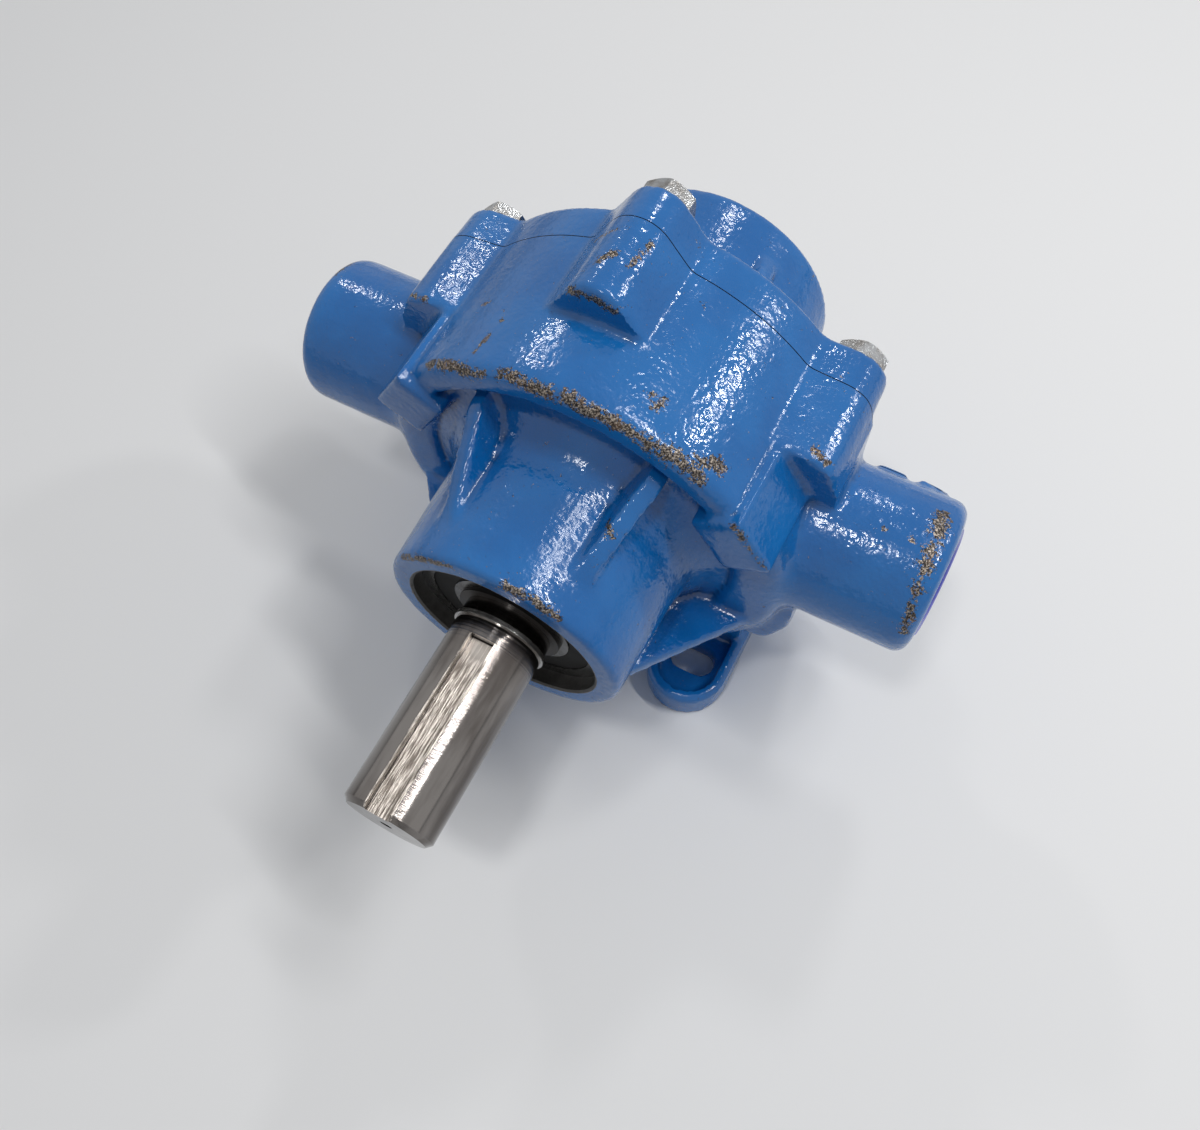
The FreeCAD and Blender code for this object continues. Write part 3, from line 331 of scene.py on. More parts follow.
def bolt_places():
    """x and z of the six bolts in millimetres."""
    places = []
    for angle in BOLT_ANGLES:
        a = math.radians(angle)
        places.append((BOLT_CIRCLE * math.cos(a), BODY_HEIGHT + BOLT_CIRCLE * math.sin(a)))
    return places


def rod(low, high, radius, axis="y", centre=(0.0, 0.0, SHAFT_HEIGHT)):
    """A plain cylinder between two stations."""
    return turned("rod", [(low, 0), (low, radius), (high, radius), (high, 0)], axis, centre)


bore_fills = [
    rod(HUB_FRONT, HUB_REAR, 28.0),
    rod(-PORT_REACH, PORT_REACH, 16.7, "x", PORT_CENTRE),
    rod(-18.0, 20.0, 52.5, centre=(0, 0, BODY_HEIGHT)),
]
bolt_fills = [rod(-2.5, BOLT_SEAT, 4.6, centre=(x, 0, z)) for x, z in bolt_places()]
casting = join("casting", [merged_copy("pump_body"), merged_copy("end_plate")] + bore_fills + bolt_fills)
modified(casting, "REMESH", mode="VOXEL", voxel_size=SKIN * MM)
modified(casting, "SMOOTH", factor=0.5, iterations=RELAX)
print("skin of the castings:", len(casting.data.polygons), "squares")


def soften(piece, centre, reach, rounds):
    """Round the skin off further near one place."""
    group = piece.vertex_groups.new(name="soft")
    middle = Vector(centre) * MM
    for point in piece.data.vertices:
        away = (point.co - middle).length / (reach * MM)
        if away < 1:
            group.add([point.index], min(1.0, 2 * (1 - away)), "REPLACE")
    modified(piece, "SMOOTH", factor=0.5, iterations=rounds, vertex_group="soft")
    piece.vertex_groups.clear()


for side in (-1, 1):
    soften(casting, (58 * side, -18, 40), 15.0, 40)
    soften(casting, (59 * side, -20, 72), 14.0, 45)
print("softened further beside both ports")

# %% [markdown]
# A poured skin is never quite flat.  A bump in the material would only bend the light;
# moving each point a few hundredths of a millimetre along its normal, by smooth noise,
# makes outlines and highlights wander the way they do on the real casting.  The points
# are then kept inside the part's own box.
# %% Uneven skin


def points_and_normals(mesh):
    points, normals = np.empty(len(mesh.vertices) * 3), np.empty(len(mesh.vertices) * 3)
    mesh.vertices.foreach_get("co", points)
    mesh.vertices.foreach_get("normal", normals)
    return points.reshape(-1, 3), normals.reshape(-1, 3)


def roughen(piece, amount, scale, seed):
    mesh = piece.data
    points, normals = points_and_normals(mesh)
    shift = Vector((seed, 0, 0))
    height = np.array([noise.noise(Vector(p) / (scale * MM) + shift) for p in points])
    points += normals * height[:, None] * amount * MM
    points = np.clip(points, part_box[0], part_box[1])
    mesh.vertices.foreach_set("co", points.ravel())
    mesh.update()


roughen(casting, 0.05, 5.0, 3.0)
print("skin moved by up to 0.05 mm")

# %% [markdown]
# Machining comes after the casting: the castings part at one plane, with a hair of a
# gap; the hubs are bored for bearing and seal, the ports are bored and threaded, and
# the bolt holes drilled.  Each cut is a solid of its own, as each is a tool of its own
# in the workshop.  A thread could be a bump in the material, but it shows at the
# port's mouth, so its tool is a bore whose radius follows the helix.
# %% Cutting tools
PARTING, JOINT_GAP = 16.5, 0.12
CHAMBER_FRONT, CHAMBER_RADIUS = -17.0, 43.0
BEARING_FRONT, BEARING_REAR, BEARING_RADIUS = -45.6, 39.0, 26.0
SHAFT_HOLE, SEAL_SEAT, BEARING_STOP = 12.8, 19.05, 21.55
PASSAGE, WEEP_HOLE = 9.5, 2.5


def thread_tool(side):
    """A countersunk bore whose radius follows a helical thread of 14 turns an inch."""
    pitch, root, crest = 1.814, 13.35, 12.45
    mouth, depth = 91.4, 21.0
    cone_radius, cone_end = 12.4, 86.2
    steps, rows_a_turn = 96, 8
    rows = int(depth / pitch * rows_a_turn)
    points, faces = [], []
    for row in range(rows + 1):
        station = mouth - depth * row / rows
        for i in range(steps):
            turn = (station / pitch + i / steps) % 1.0
            tooth = abs(2 * turn - 1)
            radius = crest + (root - crest) * min(1.0, max(0.0, 1.35 * tooth - 0.15))
            radius = max(radius, cone_radius + station - cone_end)
            angle = 2 * math.pi * i / steps
            y, z = PORT_CENTRE[1] + radius * math.cos(angle), SHAFT_HEIGHT + radius * math.sin(angle)
            points.append((side * station, y, z))
    for row in range(rows):
        for i in range(steps):
            j = (i + 1) % steps
            a, b = row * steps, (row + 1) * steps
            faces.append((a + i, a + j, b + j, b + i))
    for row in (0, rows):
        hub = len(points)
        points.append((side * (mouth - depth * row / rows), PORT_CENTRE[1], SHAFT_HEIGHT))
        for i in range(steps):
            j = (i + 1) % steps
            faces.append((hub, row * steps + i, row * steps + j))
    return outward(piece_from("thread_tool", points, faces))


def hub_tool(wall, bearing, mouth, out):
    """Shaft hole, seal seat, cavity, bearing seat and mouth chamfer; out is -1 for the front hub."""
    seat, seal_end, lip = wall + 3 * out, wall + 11 * out, mouth + 0.3 * out
    return turned("hub_tool", [
        (wall - out, 0), (wall - out, SHAFT_HOLE), (seat, SHAFT_HOLE), (seat, SEAL_SEAT),
        (seal_end, SEAL_SEAT), (seal_end, BEARING_STOP), (bearing, BEARING_STOP), (bearing, BEARING_RADIUS),
        (mouth - 0.5 * out, BEARING_RADIUS), (lip, BEARING_RADIUS + 0.8), (lip, 0),
    ])


body_tools = [
    block("beyond_joint", (-100, PARTING - JOINT_GAP, -5), (100, 80, 160)),
    hub_tool(CHAMBER_FRONT, BEARING_FRONT, HUB_FRONT, -1),
    rod(CHAMBER_FRONT, 20.0, CHAMBER_RADIUS, centre=(0, 0, BODY_HEIGHT)),
    rod(-75.0, 75.0, PASSAGE, "x", PORT_CENTRE),
    thread_tool(1),
    thread_tool(-1),
    rod(36.0, 54.0, WEEP_HOLE, "z", (0, -36.8, 0)),
]
body_tools += [rod(-2.0, 20.0, 4.0, centre=(x, 0, z)) for x, z in bolt_places()]
plate_tools = [
    block("before_joint", (-100, -80, -5), (100, PARTING + JOINT_GAP, 160)),
    hub_tool(PARTING, BEARING_REAR, HUB_REAR, 1),
    rod(36.0, 54.0, WEEP_HOLE, "z", (0, 33.25, 0)),
    turned("groove", [(15.0, 48.0), (15.0, 51.2), (19.0, 51.2), (19.0, 48.0)], centre=(0, 0, BODY_HEIGHT)),
]
plate_tools += [rod(12.0, 40.0, 4.35, centre=(x, 0, z)) for x, z in bolt_places()]
print(len(body_tools), "cuts in the body,", len(plate_tools), "in the end plate")

# %% [markdown]
# Body and end plate are the same skin cut twice, so their outlines run on across the
# joint without a step.  All tools joined would need one boolean only, but where they
# cross each other it can lose a surface, so they cut one after the other.  The split
# is one plane, which is simple but has a price: it also takes the rear ends of the feet
# and a sliver of each port, which on the part belong to the body alone.  A cutting
# solid that ends at the drum's flanks and above the feet would leave them whole.
# %% Cut the castings
plate = new_piece("end_plate_casting", casting.data.copy())
body = casting
body.name = "pump_body_casting"
for piece, tools in ((body, body_tools), (plate, plate_tools)):
    for tool in tools:
        carve(piece, [tool])
    print(piece.name, len(piece.data.polygons), "faces")

# %% [markdown]
# The six end plate bolts have plain hexagon heads, bright with zinc.  They could be
# six separate models, but one bolt with a chamfered head and a thread of rings is
# enough: Geometry Nodes sets a copy on each boss.  A fitter leaves every head at its
# own angle, so each place carries a turn of its own.
# %% Bolts


def hexagon(name, low, high, flats):
    """A hexagonal prism along Y."""
    reach = flats / math.sqrt(3)
    angles = [math.radians(a) for a in range(0, 360, 60)]
    corners = [(reach * math.cos(a), reach * math.sin(a)) for a in angles]
    points = [(x, low, z) for x, z in corners] + [(x, high, z) for x, z in corners]
    faces = [tuple(range(6)), tuple(range(6, 12))]
    faces += [(i, (i + 1) % 6, 6 + (i + 1) % 6, 6 + i) for i in range(6)]
    return outward(piece_from(name, points, faces))


def repeat(name, item, places, turns, material):
    """Copies of one piece at the places, each turned about Y by its own angle."""
    base = piece_from(name, places, [])
    turn = base.data.attributes.new("turn", "FLOAT", "POINT")
    turn.data.foreach_set("value", [math.radians(t) for t in turns])
    tree = bpy.data.node_groups.new(name, "GeometryNodeTree")
    sockets = {}
    for label, kind in (("Places", "Geometry"), ("Item", "Object"), ("Material", "Material")):
        sockets[label] = tree.interface.new_socket(label, in_out="INPUT", socket_type="NodeSocket" + kind)
    tree.interface.new_socket("Copies", in_out="OUTPUT", socket_type="NodeSocketGeometry")
    given, result = tree.nodes.new("NodeGroupInput"), tree.nodes.new("NodeGroupOutput")
    angle = tree.nodes.new("GeometryNodeInputNamedAttribute")
    angle.data_type = "FLOAT"
    angle.inputs["Name"].default_value = "turn"
    spin = tree.nodes.new("FunctionNodeAxisAngleToRotation")
    spin.inputs["Axis"].default_value = (0, 1, 0)
    source = tree.nodes.new("GeometryNodeObjectInfo")
    copies = tree.nodes.new("GeometryNodeInstanceOnPoints")
    real = tree.nodes.new("GeometryNodeRealizeInstances")
    paint_node = tree.nodes.new("GeometryNodeSetMaterial")
    link = tree.links.new
    link(given.outputs["Places"], copies.inputs["Points"])
    link(given.outputs["Item"], source.inputs["Object"])
    link(source.outputs["Geometry"], copies.inputs["Instance"])
    link(angle.outputs["Attribute"], spin.inputs["Angle"])
    link(spin.outputs["Rotation"], copies.inputs["Rotation"])
    link(copies.outputs["Instances"], real.inputs["Geometry"])
    link(real.outputs["Geometry"], paint_node.inputs["Geometry"])
    link(given.outputs["Material"], paint_node.inputs["Material"])
    link(paint_node.outputs["Geometry"], result.inputs["Copies"])
    modifier = base.modifiers.new("repeat", "NODES")
    modifier.node_group = tree
    modifier[sockets["Item"].identifier] = item
    modifier[sockets["Material"].identifier] = material
    settle(base)
    bpy.data.objects.remove(item)
    return base


zinc = Finish("bright_zinc", Metallic=1.0)
cloud = zinc.noise(350, 3, 0.6)
grain = zinc.noise(2600, 2, 0.5)
zinc.set(
    Base_Color=zinc.blend(cloud.rise(0.35, 0.7), (0.36, 0.37, 0.38, 1), (0.20, 0.19, 0.18, 1)),
    Roughness=cloud.rise(0.3, 0.8, 0.18, 0.34),
    Normal=zinc.bump(grain, 0.00008),
)
HEAD_HEIGHT, HEAD_FLATS, SHANK, THREAD_PITCH = 4.9, 12.7, 3.95, 1.27
HEAD_TURNS = (35, 31, 15, 22, 48, 9)
bolt = hexagon("bolt", 0.0, HEAD_HEIGHT, HEAD_FLATS)
crown = [
    (-1, 0), (-1, 7.6), (3.95, 7.6), (HEAD_HEIGHT, 5.95), (HEAD_HEIGHT, 4.6), (4.65, 4.2), (4.65, 0),
]
carve(bolt, [turned("crown", crown, centre=(0, 0, 0))], "INTERSECT")
thread = [(-24.0, 0), (-24.0, 3.0), (-23.4, 3.5)]
for i in range(15):
    thread += [(-23.0 + i * THREAD_PITCH, SHANK), (-22.4 + i * THREAD_PITCH, 3.4)]
thread += [(-3.6, SHANK), (0.4, SHANK), (0.4, 0)]
carve(bolt, [turned("shank", thread, centre=(0, 0, 0), steps=48)], "UNION")
seats = [(x, BOLT_SEAT, z) for x, z in bolt_places()]
bolts = repeat("end_plate_bolts_shown", bolt, seats, HEAD_TURNS, zinc.material)
finish_piece(bolts, "housing", "zinc_steel", zinc.material, "end_plate_bolts", smooth=25)

# %% [markdown]
# The shipping plug is a thin plastic cup with a flange.  It was pushed in by hand and
# sits a little askew, its flange half sunk in the countersink.  A straight plug would
# be simpler, but the lean shows in the photograph, so the cup is turned about the
# port's axis first and then leaned over.  The plastic is a strong ultramarine.
# %% Plug
plastic = Finish("ultramarine_plastic", Subsurface_Weight=0.08)
mould = plastic.noise(140, 3, 0.6)
plastic.set(
    Base_Color=plastic.blend(mould.rise(0.35, 0.65), (0.020, 0.035, 0.42, 1), (0.035, 0.055, 0.47, 1)),
    Roughness=mould.rise(0.3, 0.7, 0.26, 0.38),
    Normal=plastic.bump(plastic.noise(900, 2, 0.5), 0.00004),
)
LEAN, SUNK = math.radians(7), 0.35
plug_outside = [
    (-12.0, 0), (-12.0, 10.0), (-11.6, 10.4), (-0.6, 11.8),
    (-0.2, 12.1), (0.0, 12.8), (0.0, 14.5), (0.2, 14.8),
]
plug_inside = [
    (0.7, 14.8), (0.9, 14.6), (0.9, 11.2), (0.5, 10.6),
    (-0.4, 10.4), (-10.0, 9.0), (-10.6, 8.4), (-10.6, 0),
]
plug = turned("outlet_plug_shown", plug_outside + plug_inside, "x", (0, 0, 0))
lean_axis = Vector((0, 0.87, 0.49)).normalized()
plug_place = Vector((PORT_REACH - SUNK, PORT_CENTRE[1], SHAFT_HEIGHT)) * MM
plug.data.transform(Matrix.Translation(plug_place) @ Matrix.Rotation(-LEAN, 4, lean_axis))
finish_piece(plug, "plug", "blue_plastic", plastic.material, "outlet_plug", smooth=40)

# %% [markdown]
# Years of knocks have broken the paint along the hood's front edge, on the bosses, the
# hub's lip and the port.  A painted mask could hold them, but lines in space need no
# image: each worn place is a short line with a width.  Every point of the casting
# stores how near it is to such a line, and how sharply the casting bends there; the
# paint then breaks up by itself where both say so.
# %% Worn places
WORN = [
    (3.0, [(-37.6, -25.4, 114.5), (-31.8, -26.9, 118.2), (-27.0, -27.4, 120.6), (-21.0, -27.8, 122.8)]),
    (3.2, [(-15.7, -27.0, 125.5), (-9.0, -27.7, 126.3), (-2.4, -27.8, 126.9)]),
    (3.4, [(0.6, -27.7, 127.1), (9.7, -27.7, 126.2), (18.7, -27.4, 124.2)]),
    (4.0, [(18.7, -27.4, 124.2), (26.8, -27.0, 121.0), (33.5, -26.5, 117.3)]),
    (3.2, [(32.2, -24.0, 118.5), (34.3, -21.9, 117.1), (36.9, -20.9, 115.0)]),
    (1.8, [(16.8, -17.3, 125.7), (17.0, -17.3, 125.6)]),
    (2.2, [(19.3, -19.5, 124.9), (19.9, -17.2, 124.6)]),
    (1.3, [(-25.7, -22.8, 122.3), (-25.3, -19.9, 122.5), (-24.8, -17.0, 122.7)]),
    (1.7, [(-33.0, -7.1, 117.9), (-32.0, -6.2, 118.6)]),
    (1.4, [(-24.6, -12.4, 122.8), (-24.1, -12.6, 123.0)]),
    (2.0, [(0.9, 3.7, 137.6), (1.6, 7.7, 137.3), (2.0, 11.7, 137.0)]),
    (2.1, [(-5.8, 1.8, 137.8), (-4.8, 3.3, 138.1), (-3.8, 4.6, 138.3)]),
    (1.9, [(-9.6, -6.3, 134.8), (-5.9, -7.0, 136.1), (-2.2, -7.0, 135.8), (2.2, -7.0, 134.5)]),
    (1.3, [(-12.2, 12.0, 131.2), (-8.8, 10.7, 136.0), (-6.5, 12.2, 137.6)]),
    (1.8, [(-57.2, -5.4, 107.5), (-54.3, -6.2, 108.8), (-51.6, -6.3, 109.5)]),
    (1.7, [(-25.9, -64.6, 91.7), (-17.4, -65.1, 98.7), (-9.7, -65.1, 102.1)]),
    (2.4, [(4.6, -64.6, 104.7), (10.6, -64.1, 103.5), (17.4, -64.4, 100.1)]),
    (1.7, [(17.2, -39.6, 105.0), (18.8, -42.4, 106.8), (20.0, -43.1, 105.6)]),
    (2.1, [(43.6, -30.7, 109.1), (45.5, -30.8, 108.1), (47.2, -30.7, 104.8)]),
    (1.1, [(47.2, -30.7, 104.8), (51.0, -30.8, 99.7), (54.5, -30.8, 95.5)]),
    (4.2, [(84.9, 3.3, 92.9), (85.3, -1.6, 93.7)]),
    (3.6, [(85.6, -5.2, 93.5), (86.1, -10.8, 91.9)]),
    (2.6, [(86.3, -14.5, 89.7), (87.0, -18.5, 85.8), (88.0, -21.7, 78.5)]),
    (1.4, [(73.8, -6.0, 93.3), (74.1, -6.1, 93.3)]),
    (1.4, [(80.2, -5.8, 93.4), (80.5, -5.9, 93.4)]),
    (2.0, [(51.8, -4.2, 109.5), (54.0, -4.6, 109.0), (56.0, -4.9, 108.0)]),
    (1.9, [(-88.8, 9.0, 90.6), (-89.0, 6.0, 91.9), (-89.2, 1.0, 92.8)]),
]


def store(piece, name, values):
    attribute = piece.data.attributes.new(name, "FLOAT", "POINT")
    attribute.data.foreach_set("value", np.asarray(values, dtype=np.float32))


def store_wear(piece):
    """Store 'worn' (0 away from the worn places, 1 on them) and 'bend' (1/mm, + outwards)."""
    mesh = piece.data
    points, normals = points_and_normals(mesh)
    points = points / MM
    worn = np.zeros(len(points))
    for width, line in WORN:
        for start, end in zip(line, line[1:]):
            start, along = np.array(start), np.array(end) - np.array(start)
            share = np.clip(((points - start) @ along) / (along @ along), 0, 1)
            away = np.linalg.norm(points - start - share[:, None] * along, axis=1)
            worn = np.maximum(worn, 1 - away / width)
    edges = np.empty(len(mesh.edges) * 2, dtype=np.int32)
    mesh.edges.foreach_get("vertices", edges)
    first, last = edges.reshape(-1, 2).T
    across = points[last] - points[first]
    turn = np.einsum("ij,ij->i", normals[last] - normals[first], across)
    turn = turn / np.maximum(np.einsum("ij,ij->i", across, across), 0.01)
    for _ in range(3):
        total = np.bincount(first, turn, len(points)) + np.bincount(last, turn, len(points))
        many = np.bincount(first, minlength=len(points)) + np.bincount(last, minlength=len(points))
        bend = total / np.maximum(many, 1)
        turn = (bend[first] + bend[last]) / 2
    store(piece, "worn", np.maximum(worn, 0))
    store(piece, "bend", bend)
    bends = np.round(np.percentile(bend, (1, 50, 99)), 2)
    print(piece.name, "worn points:", int((worn > 0).sum()), "bend:", bends)


store_wear(body)
store_wear(plate)

# %% [markdown]
# The paint is thick, glossy and mid blue, sprayed straight over sand-cast iron.  Where
# it's gone, brown-grey iron shows; the bores, the joint and the undersides of the feet
# never had any.  Two materials could share the casting face by face, but their border
# would follow the squares of the skin.  So one material asks each point where it is:
# how far from the shaft, from the ports' axis, from the joint and from the floor.
# %% Where the paint is
PORT_BARE_RADIUS, PORT_BARE_FROM = 17.02, 40.0
paint = Finish("blue_paint", Specular_IOR_Level=0.5)
along_x, along_y, along_z = paint.axes()


def distance_off(first, second):
    """Distance from an axis, by two coordinates that count from it."""
    return (first * first + second * second) ** 0.5


def beyond(wire, limit):
    """1 where the value is above the limit, 0 below; the limit is in millimetres."""
    return wire.rise((limit - 0.04) * MM, (limit + 0.04) * MM)


shaft_away = distance_off(along_x, along_z - SHAFT_HEIGHT * MM)
body_away = distance_off(along_x, along_z - BODY_HEIGHT * MM)
port_away = distance_off(along_y - PORT_CENTRE[1] * MM, along_z - SHAFT_HEIGHT * MM)
in_hub = 1 - beyond(shaft_away, BEARING_RADIUS + 0.78)
in_port = (1 - beyond(port_away, PORT_BARE_RADIUS)) * beyond(along_x.math("ABSOLUTE"), PORT_BARE_FROM)
in_chamber = (1 - beyond(body_away, CHAMBER_RADIUS + 0.5)) * beyond(along_y, CHAMBER_FRONT - 0.2)
in_chamber = in_chamber * (1 - beyond(along_y, PARTING + 0.1))
at_joint = 1 - beyond((along_y - PARTING * MM).math("ABSOLUTE"), JOINT_GAP + 0.02)
under_feet = 1 - beyond(along_z, 0.15)
machined = in_hub.high(in_port).high(in_chamber).high(at_joint).high(under_feet)
print(len(paint.tree.nodes), "nodes say where the paint is")

# %% [markdown]
# The sand's grain and the paint's orange peel break every highlight into sparks.  A
# rougher paint would blur them; two noises as a fine bump scatter them instead.  Worn
# iron comes in speckles: the stored nearness to a worn line only says how likely it is,
# and noise decides.  Sharp edges lose a little paint everywhere, and inward bends get
# painted shade, a darker blue.
# %% Paint
worn, bend = paint.stored("worn"), paint.stored("bend")
speckle = paint.noise(1100, 5, 0.8)
blotch = paint.noise(330, 3, 0.6)
chance = worn * 0.85 + (blotch - 0.5) * 1.3 + (speckle - 0.5) * 2.6
nicks = bend.rise(0.12, 0.4) * ((blotch - 0.63) * 6 + (speckle - 0.5) * 2).high(0)
bare = chance.rise(0.47, 0.53).high(nicks.rise(0.45, 0.6))
grit = paint.noise(2000, 4, 0.8)
iron = paint.blend(grit.rise(0.47, 0.62), (0.016, 0.013, 0.012, 1), (0.42, 0.36, 0.30, 1))
rust = paint.blend(paint.noise(260, 3, 0.6).rise(0.52, 0.72, 0.0, 0.6), iron, (0.15, 0.085, 0.045, 1))
DEEP_BLUE, MID_BLUE = (0.003, 0.108, 0.35, 1), (0.006, 0.135, 0.41, 1)
shade = paint.blend(paint.noise(45, 3, 0.5).rise(0.35, 0.65), DEEP_BLUE, MID_BLUE)
# Painted shade: where the casting bends inwards, its blue is darkened towards a near-black blue.
painted_hollow_shade = paint.blend((0 - bend).rise(0.06, 0.35, 0.0, 0.6), shade, (0.002, 0.030, 0.11, 1))
# Machined iron, painted near-black as painted shade in the deep bores; the ports, the chamber, the joint
# and the feet's undersides get the same dark colour.
cut_iron_and_bore_shade = paint.blend(paint.noise(500, 3, 0.6), (0.022, 0.021, 0.020, 1), (0.065, 0.062, 0.058, 1))
# Painted shade: the joint faces in the hairline gap between body and end plate are painted near-black, and
# their metal shine is taken away below.
joint_gap_shade = paint.blend(at_joint, cut_iron_and_bore_shade, (0.010, 0.012, 0.018, 1))
colour = paint.blend(machined, paint.blend(bare, painted_hollow_shade, rust), joint_gap_shade)
stripped = machined.high(bare)
film = paint.noise(560, 1, 0.4) + paint.noise(1300, 1, 0.4) * 0.35 - bare * 0.5 + grit * bare * 0.8
paint.set(
    Base_Color=colour,
    Metallic=(bare * 0.75).high(machined * 0.35) * (1 - at_joint),
    Roughness=paint.noise(120, 3, 0.6).rise(0.3, 0.7, 0.10, 0.20).high(stripped * 0.42),
    Normal=paint.bump(film, 0.00016),
)
finish_piece(body, "housing", "casting_paint", paint.material, "pump_body", smooth=40)
finish_piece(plate, "housing", "casting_paint", paint.material, "end_plate", smooth=40)

# %% [markdown]
# Everything else keeps the part's own mesh, because turned and pressed pieces are as
# plain as their solids, and only gets a finish: bearings, rings and caps are steel with
# fine marks round the axis, seals and the O-ring are black rubber, and the rollers are
# a hard pale plastic.
# %% Finishes of the other pieces
TURNING_MARKS = 3200


def steel_finish(name, light, dark, rough):
    """Turned or ground steel; the marks run round the shaft's axis."""
    steel = Finish(name, Metallic=1.0)
    rings = steel.noise(TURNING_MARKS, 2, 0.6, stretch=(0.01, 1, 0.01))
    stain = steel.noise(160, 4, 0.6, stretch=(1, 0.25, 1))
    steel.set(
        Base_Color=steel.blend(stain.rise(0.4, 0.68), light, dark),
        Roughness=(rings * 0.5 + stain * 0.5).rise(0.3, 0.7, rough, rough + 0.16),
        Normal=steel.bump(rings, 0.00003),
    )
    return steel.material


def plain_finish(name, first, second, rough, shine=0.5):
    """A moulded or cast surface that wanders between two colours."""
    plain = Finish(name, Specular_IOR_Level=shine)
    cloud_in = plain.noise(110, 3, 0.6)
    plain.set(
        Base_Color=plain.blend(cloud_in.rise(0.35, 0.65), first, second),
        Roughness=cloud_in.rise(0.3, 0.7, rough, rough + 0.12),
        Normal=plain.bump(plain.noise(900, 2, 0.5), 0.00004),
    )
    return plain.material


# %% [markdown]
# The shaft is ground bright, and its keyway was milled: a smooth run-out at the inner
# end, then a floor torn by chatter, with ragged edges; its end wall is painted near-black
# as painted shade.  Modelling each scratch would need far too many faces, so the
# material finds the keyway by position and lays a long, stretched noise in it.
# %% Finish of the shaft
KEYWAY_END, KEYWAY_EDGE, KEYWAY_FLOOR = -71.5, 3.12, 81.5


def edge(wire, start, width):
    """0 before the start, 1 beyond start + width, a slope between them; in millimetres."""
    return wire.rise(start * MM, (start + width) * MM)


def shaft_finish():
    """The ground shaft with its milled keyway."""
    shaft = Finish("ground_shaft", Metallic=1.0)
    x, y, z = shaft.axes()
    off = x.math("ABSOLUTE")
    rings = shaft.noise(TURNING_MARKS, 2, 0.6, stretch=(0.01, 1, 0.01))
    haze = shaft.noise(120, 4, 0.6, stretch=(1, 0.2, 1))
    chatter = shaft.noise(2600, 3, 0.6, stretch=(1, 0.05, 1))
    ahead = edge(y, KEYWAY_END + 0.3, -0.6)
    key_floor = (1 - edge(off, KEYWAY_EDGE - 0.07, 0.07)) * (1 - edge(z, KEYWAY_FLOOR + 2.0, 0.3))
    key_floor = key_floor * edge(z, KEYWAY_FLOOR, 0.1) * ahead
    rim = 1 - edge((off - (KEYWAY_EDGE + 0.23) * MM).math("ABSOLUTE"), 0.0, 0.7)
    ragged = rim * edge(z, KEYWAY_FLOOR + 1.5, 0.4) * ahead
    torn = (ragged + (chatter - 0.5) * 2.2).rise(0.55, 0.75) * ragged.rise(0.0, 0.1)
    milled = key_floor.high(torn)
    rough_part = edge(y, KEYWAY_END - 3.0, -5.5)
    near_end = 1 - edge((y - KEYWAY_END * MM).math("ABSOLUTE"), 0.15, 0.25)
    # Painted shade: the keyway's end wall is painted near-black.
    keyway_end_shade = near_end * (1 - edge(off, KEYWAY_EDGE, 0.06)) * (1 - edge(z, KEYWAY_FLOOR + 2.5, 0.3))
    plain = shaft.blend(haze.rise(0.36, 0.66), (0.23, 0.215, 0.205, 1), (0.115, 0.102, 0.095, 1))
    bright = chatter.rise(0.42, 0.6).high((1 - rough_part) * 0.7)
    cut = shaft.blend(bright, (0.22, 0.19, 0.165, 1), (0.72, 0.66, 0.60, 1))
    shaft.set(
        Base_Color=shaft.blend(keyway_end_shade, shaft.blend(milled, plain, cut), (0.025, 0.023, 0.021, 1)),
        Roughness=(rings * 0.5 + haze * 0.5).rise(0.3, 0.7, 0.09, 0.18).high(milled * 0.38),
        Normal=shaft.bump(rings * (1 - milled) * 0.06 + chatter * milled * rough_part, 0.0005),
    )
    return shaft.material


ground_steel = shaft_finish()
print(len(ground_steel.node_tree.nodes), "nodes in the shaft's finish")

# %% [markdown]
# Each piece of the part names the kind of surface it has.  Setting materials by hand
# would be easy to get wrong with so many pieces, so a table gives one finish to each
# kind, and a loop hangs it on every mesh that is still the part's own.
# %% Hang the finishes
FINISHES = {
    "ground_steel": ground_steel,
    "bearing_steel": steel_finish("bearing_steel", (0.20, 0.20, 0.195, 1), (0.12, 0.118, 0.115, 1), 0.18),
    "ball_steel": steel_finish("ball_steel", (0.70, 0.70, 0.70, 1), (0.62, 0.62, 0.62, 1), 0.06),
    "cage_steel": steel_finish("cage_steel", (0.50, 0.47, 0.40, 1), (0.38, 0.35, 0.30, 1), 0.28),
    "ring_steel": steel_finish("ring_steel", (0.70, 0.70, 0.69, 1), (0.50, 0.49, 0.47, 1), 0.14),
    "black_steel": steel_finish("black_steel", (0.035, 0.035, 0.036, 1), (0.06, 0.055, 0.05, 1), 0.32),
    "cap_steel": steel_finish("cap_steel", (0.55, 0.54, 0.50, 1), (0.38, 0.36, 0.32, 1), 0.26),
    "key_steel": steel_finish("key_steel", (0.40, 0.40, 0.39, 1), (0.30, 0.29, 0.28, 1), 0.25),
    "rotor_iron": plain_finish("rotor_iron", (0.16, 0.155, 0.15, 1), (0.11, 0.105, 0.10, 1), 0.45),
    "roller_plastic": plain_finish("roller_plastic", (0.62, 0.60, 0.55, 1), (0.55, 0.53, 0.48, 1), 0.35),
    "black_rubber": plain_finish(
        "black_rubber", (0.006, 0.006, 0.006, 1), (0.011, 0.011, 0.011, 1), 0.55, shine=0.15
    ),
}
REPLACED = ("pump_body", "end_plate", "end_plate_bolts", "outlet_plug")
for entry in frame["record"]["subparts"]:
    if entry["node"] in REPLACED:
        continue
    piece = frame["nodes"][entry["node"]]
    piece.data.materials.clear()
    piece.data.materials.append(FINISHES[entry["material_slot"]])
print(len(FINISHES), "finishes on the part's own meshes")

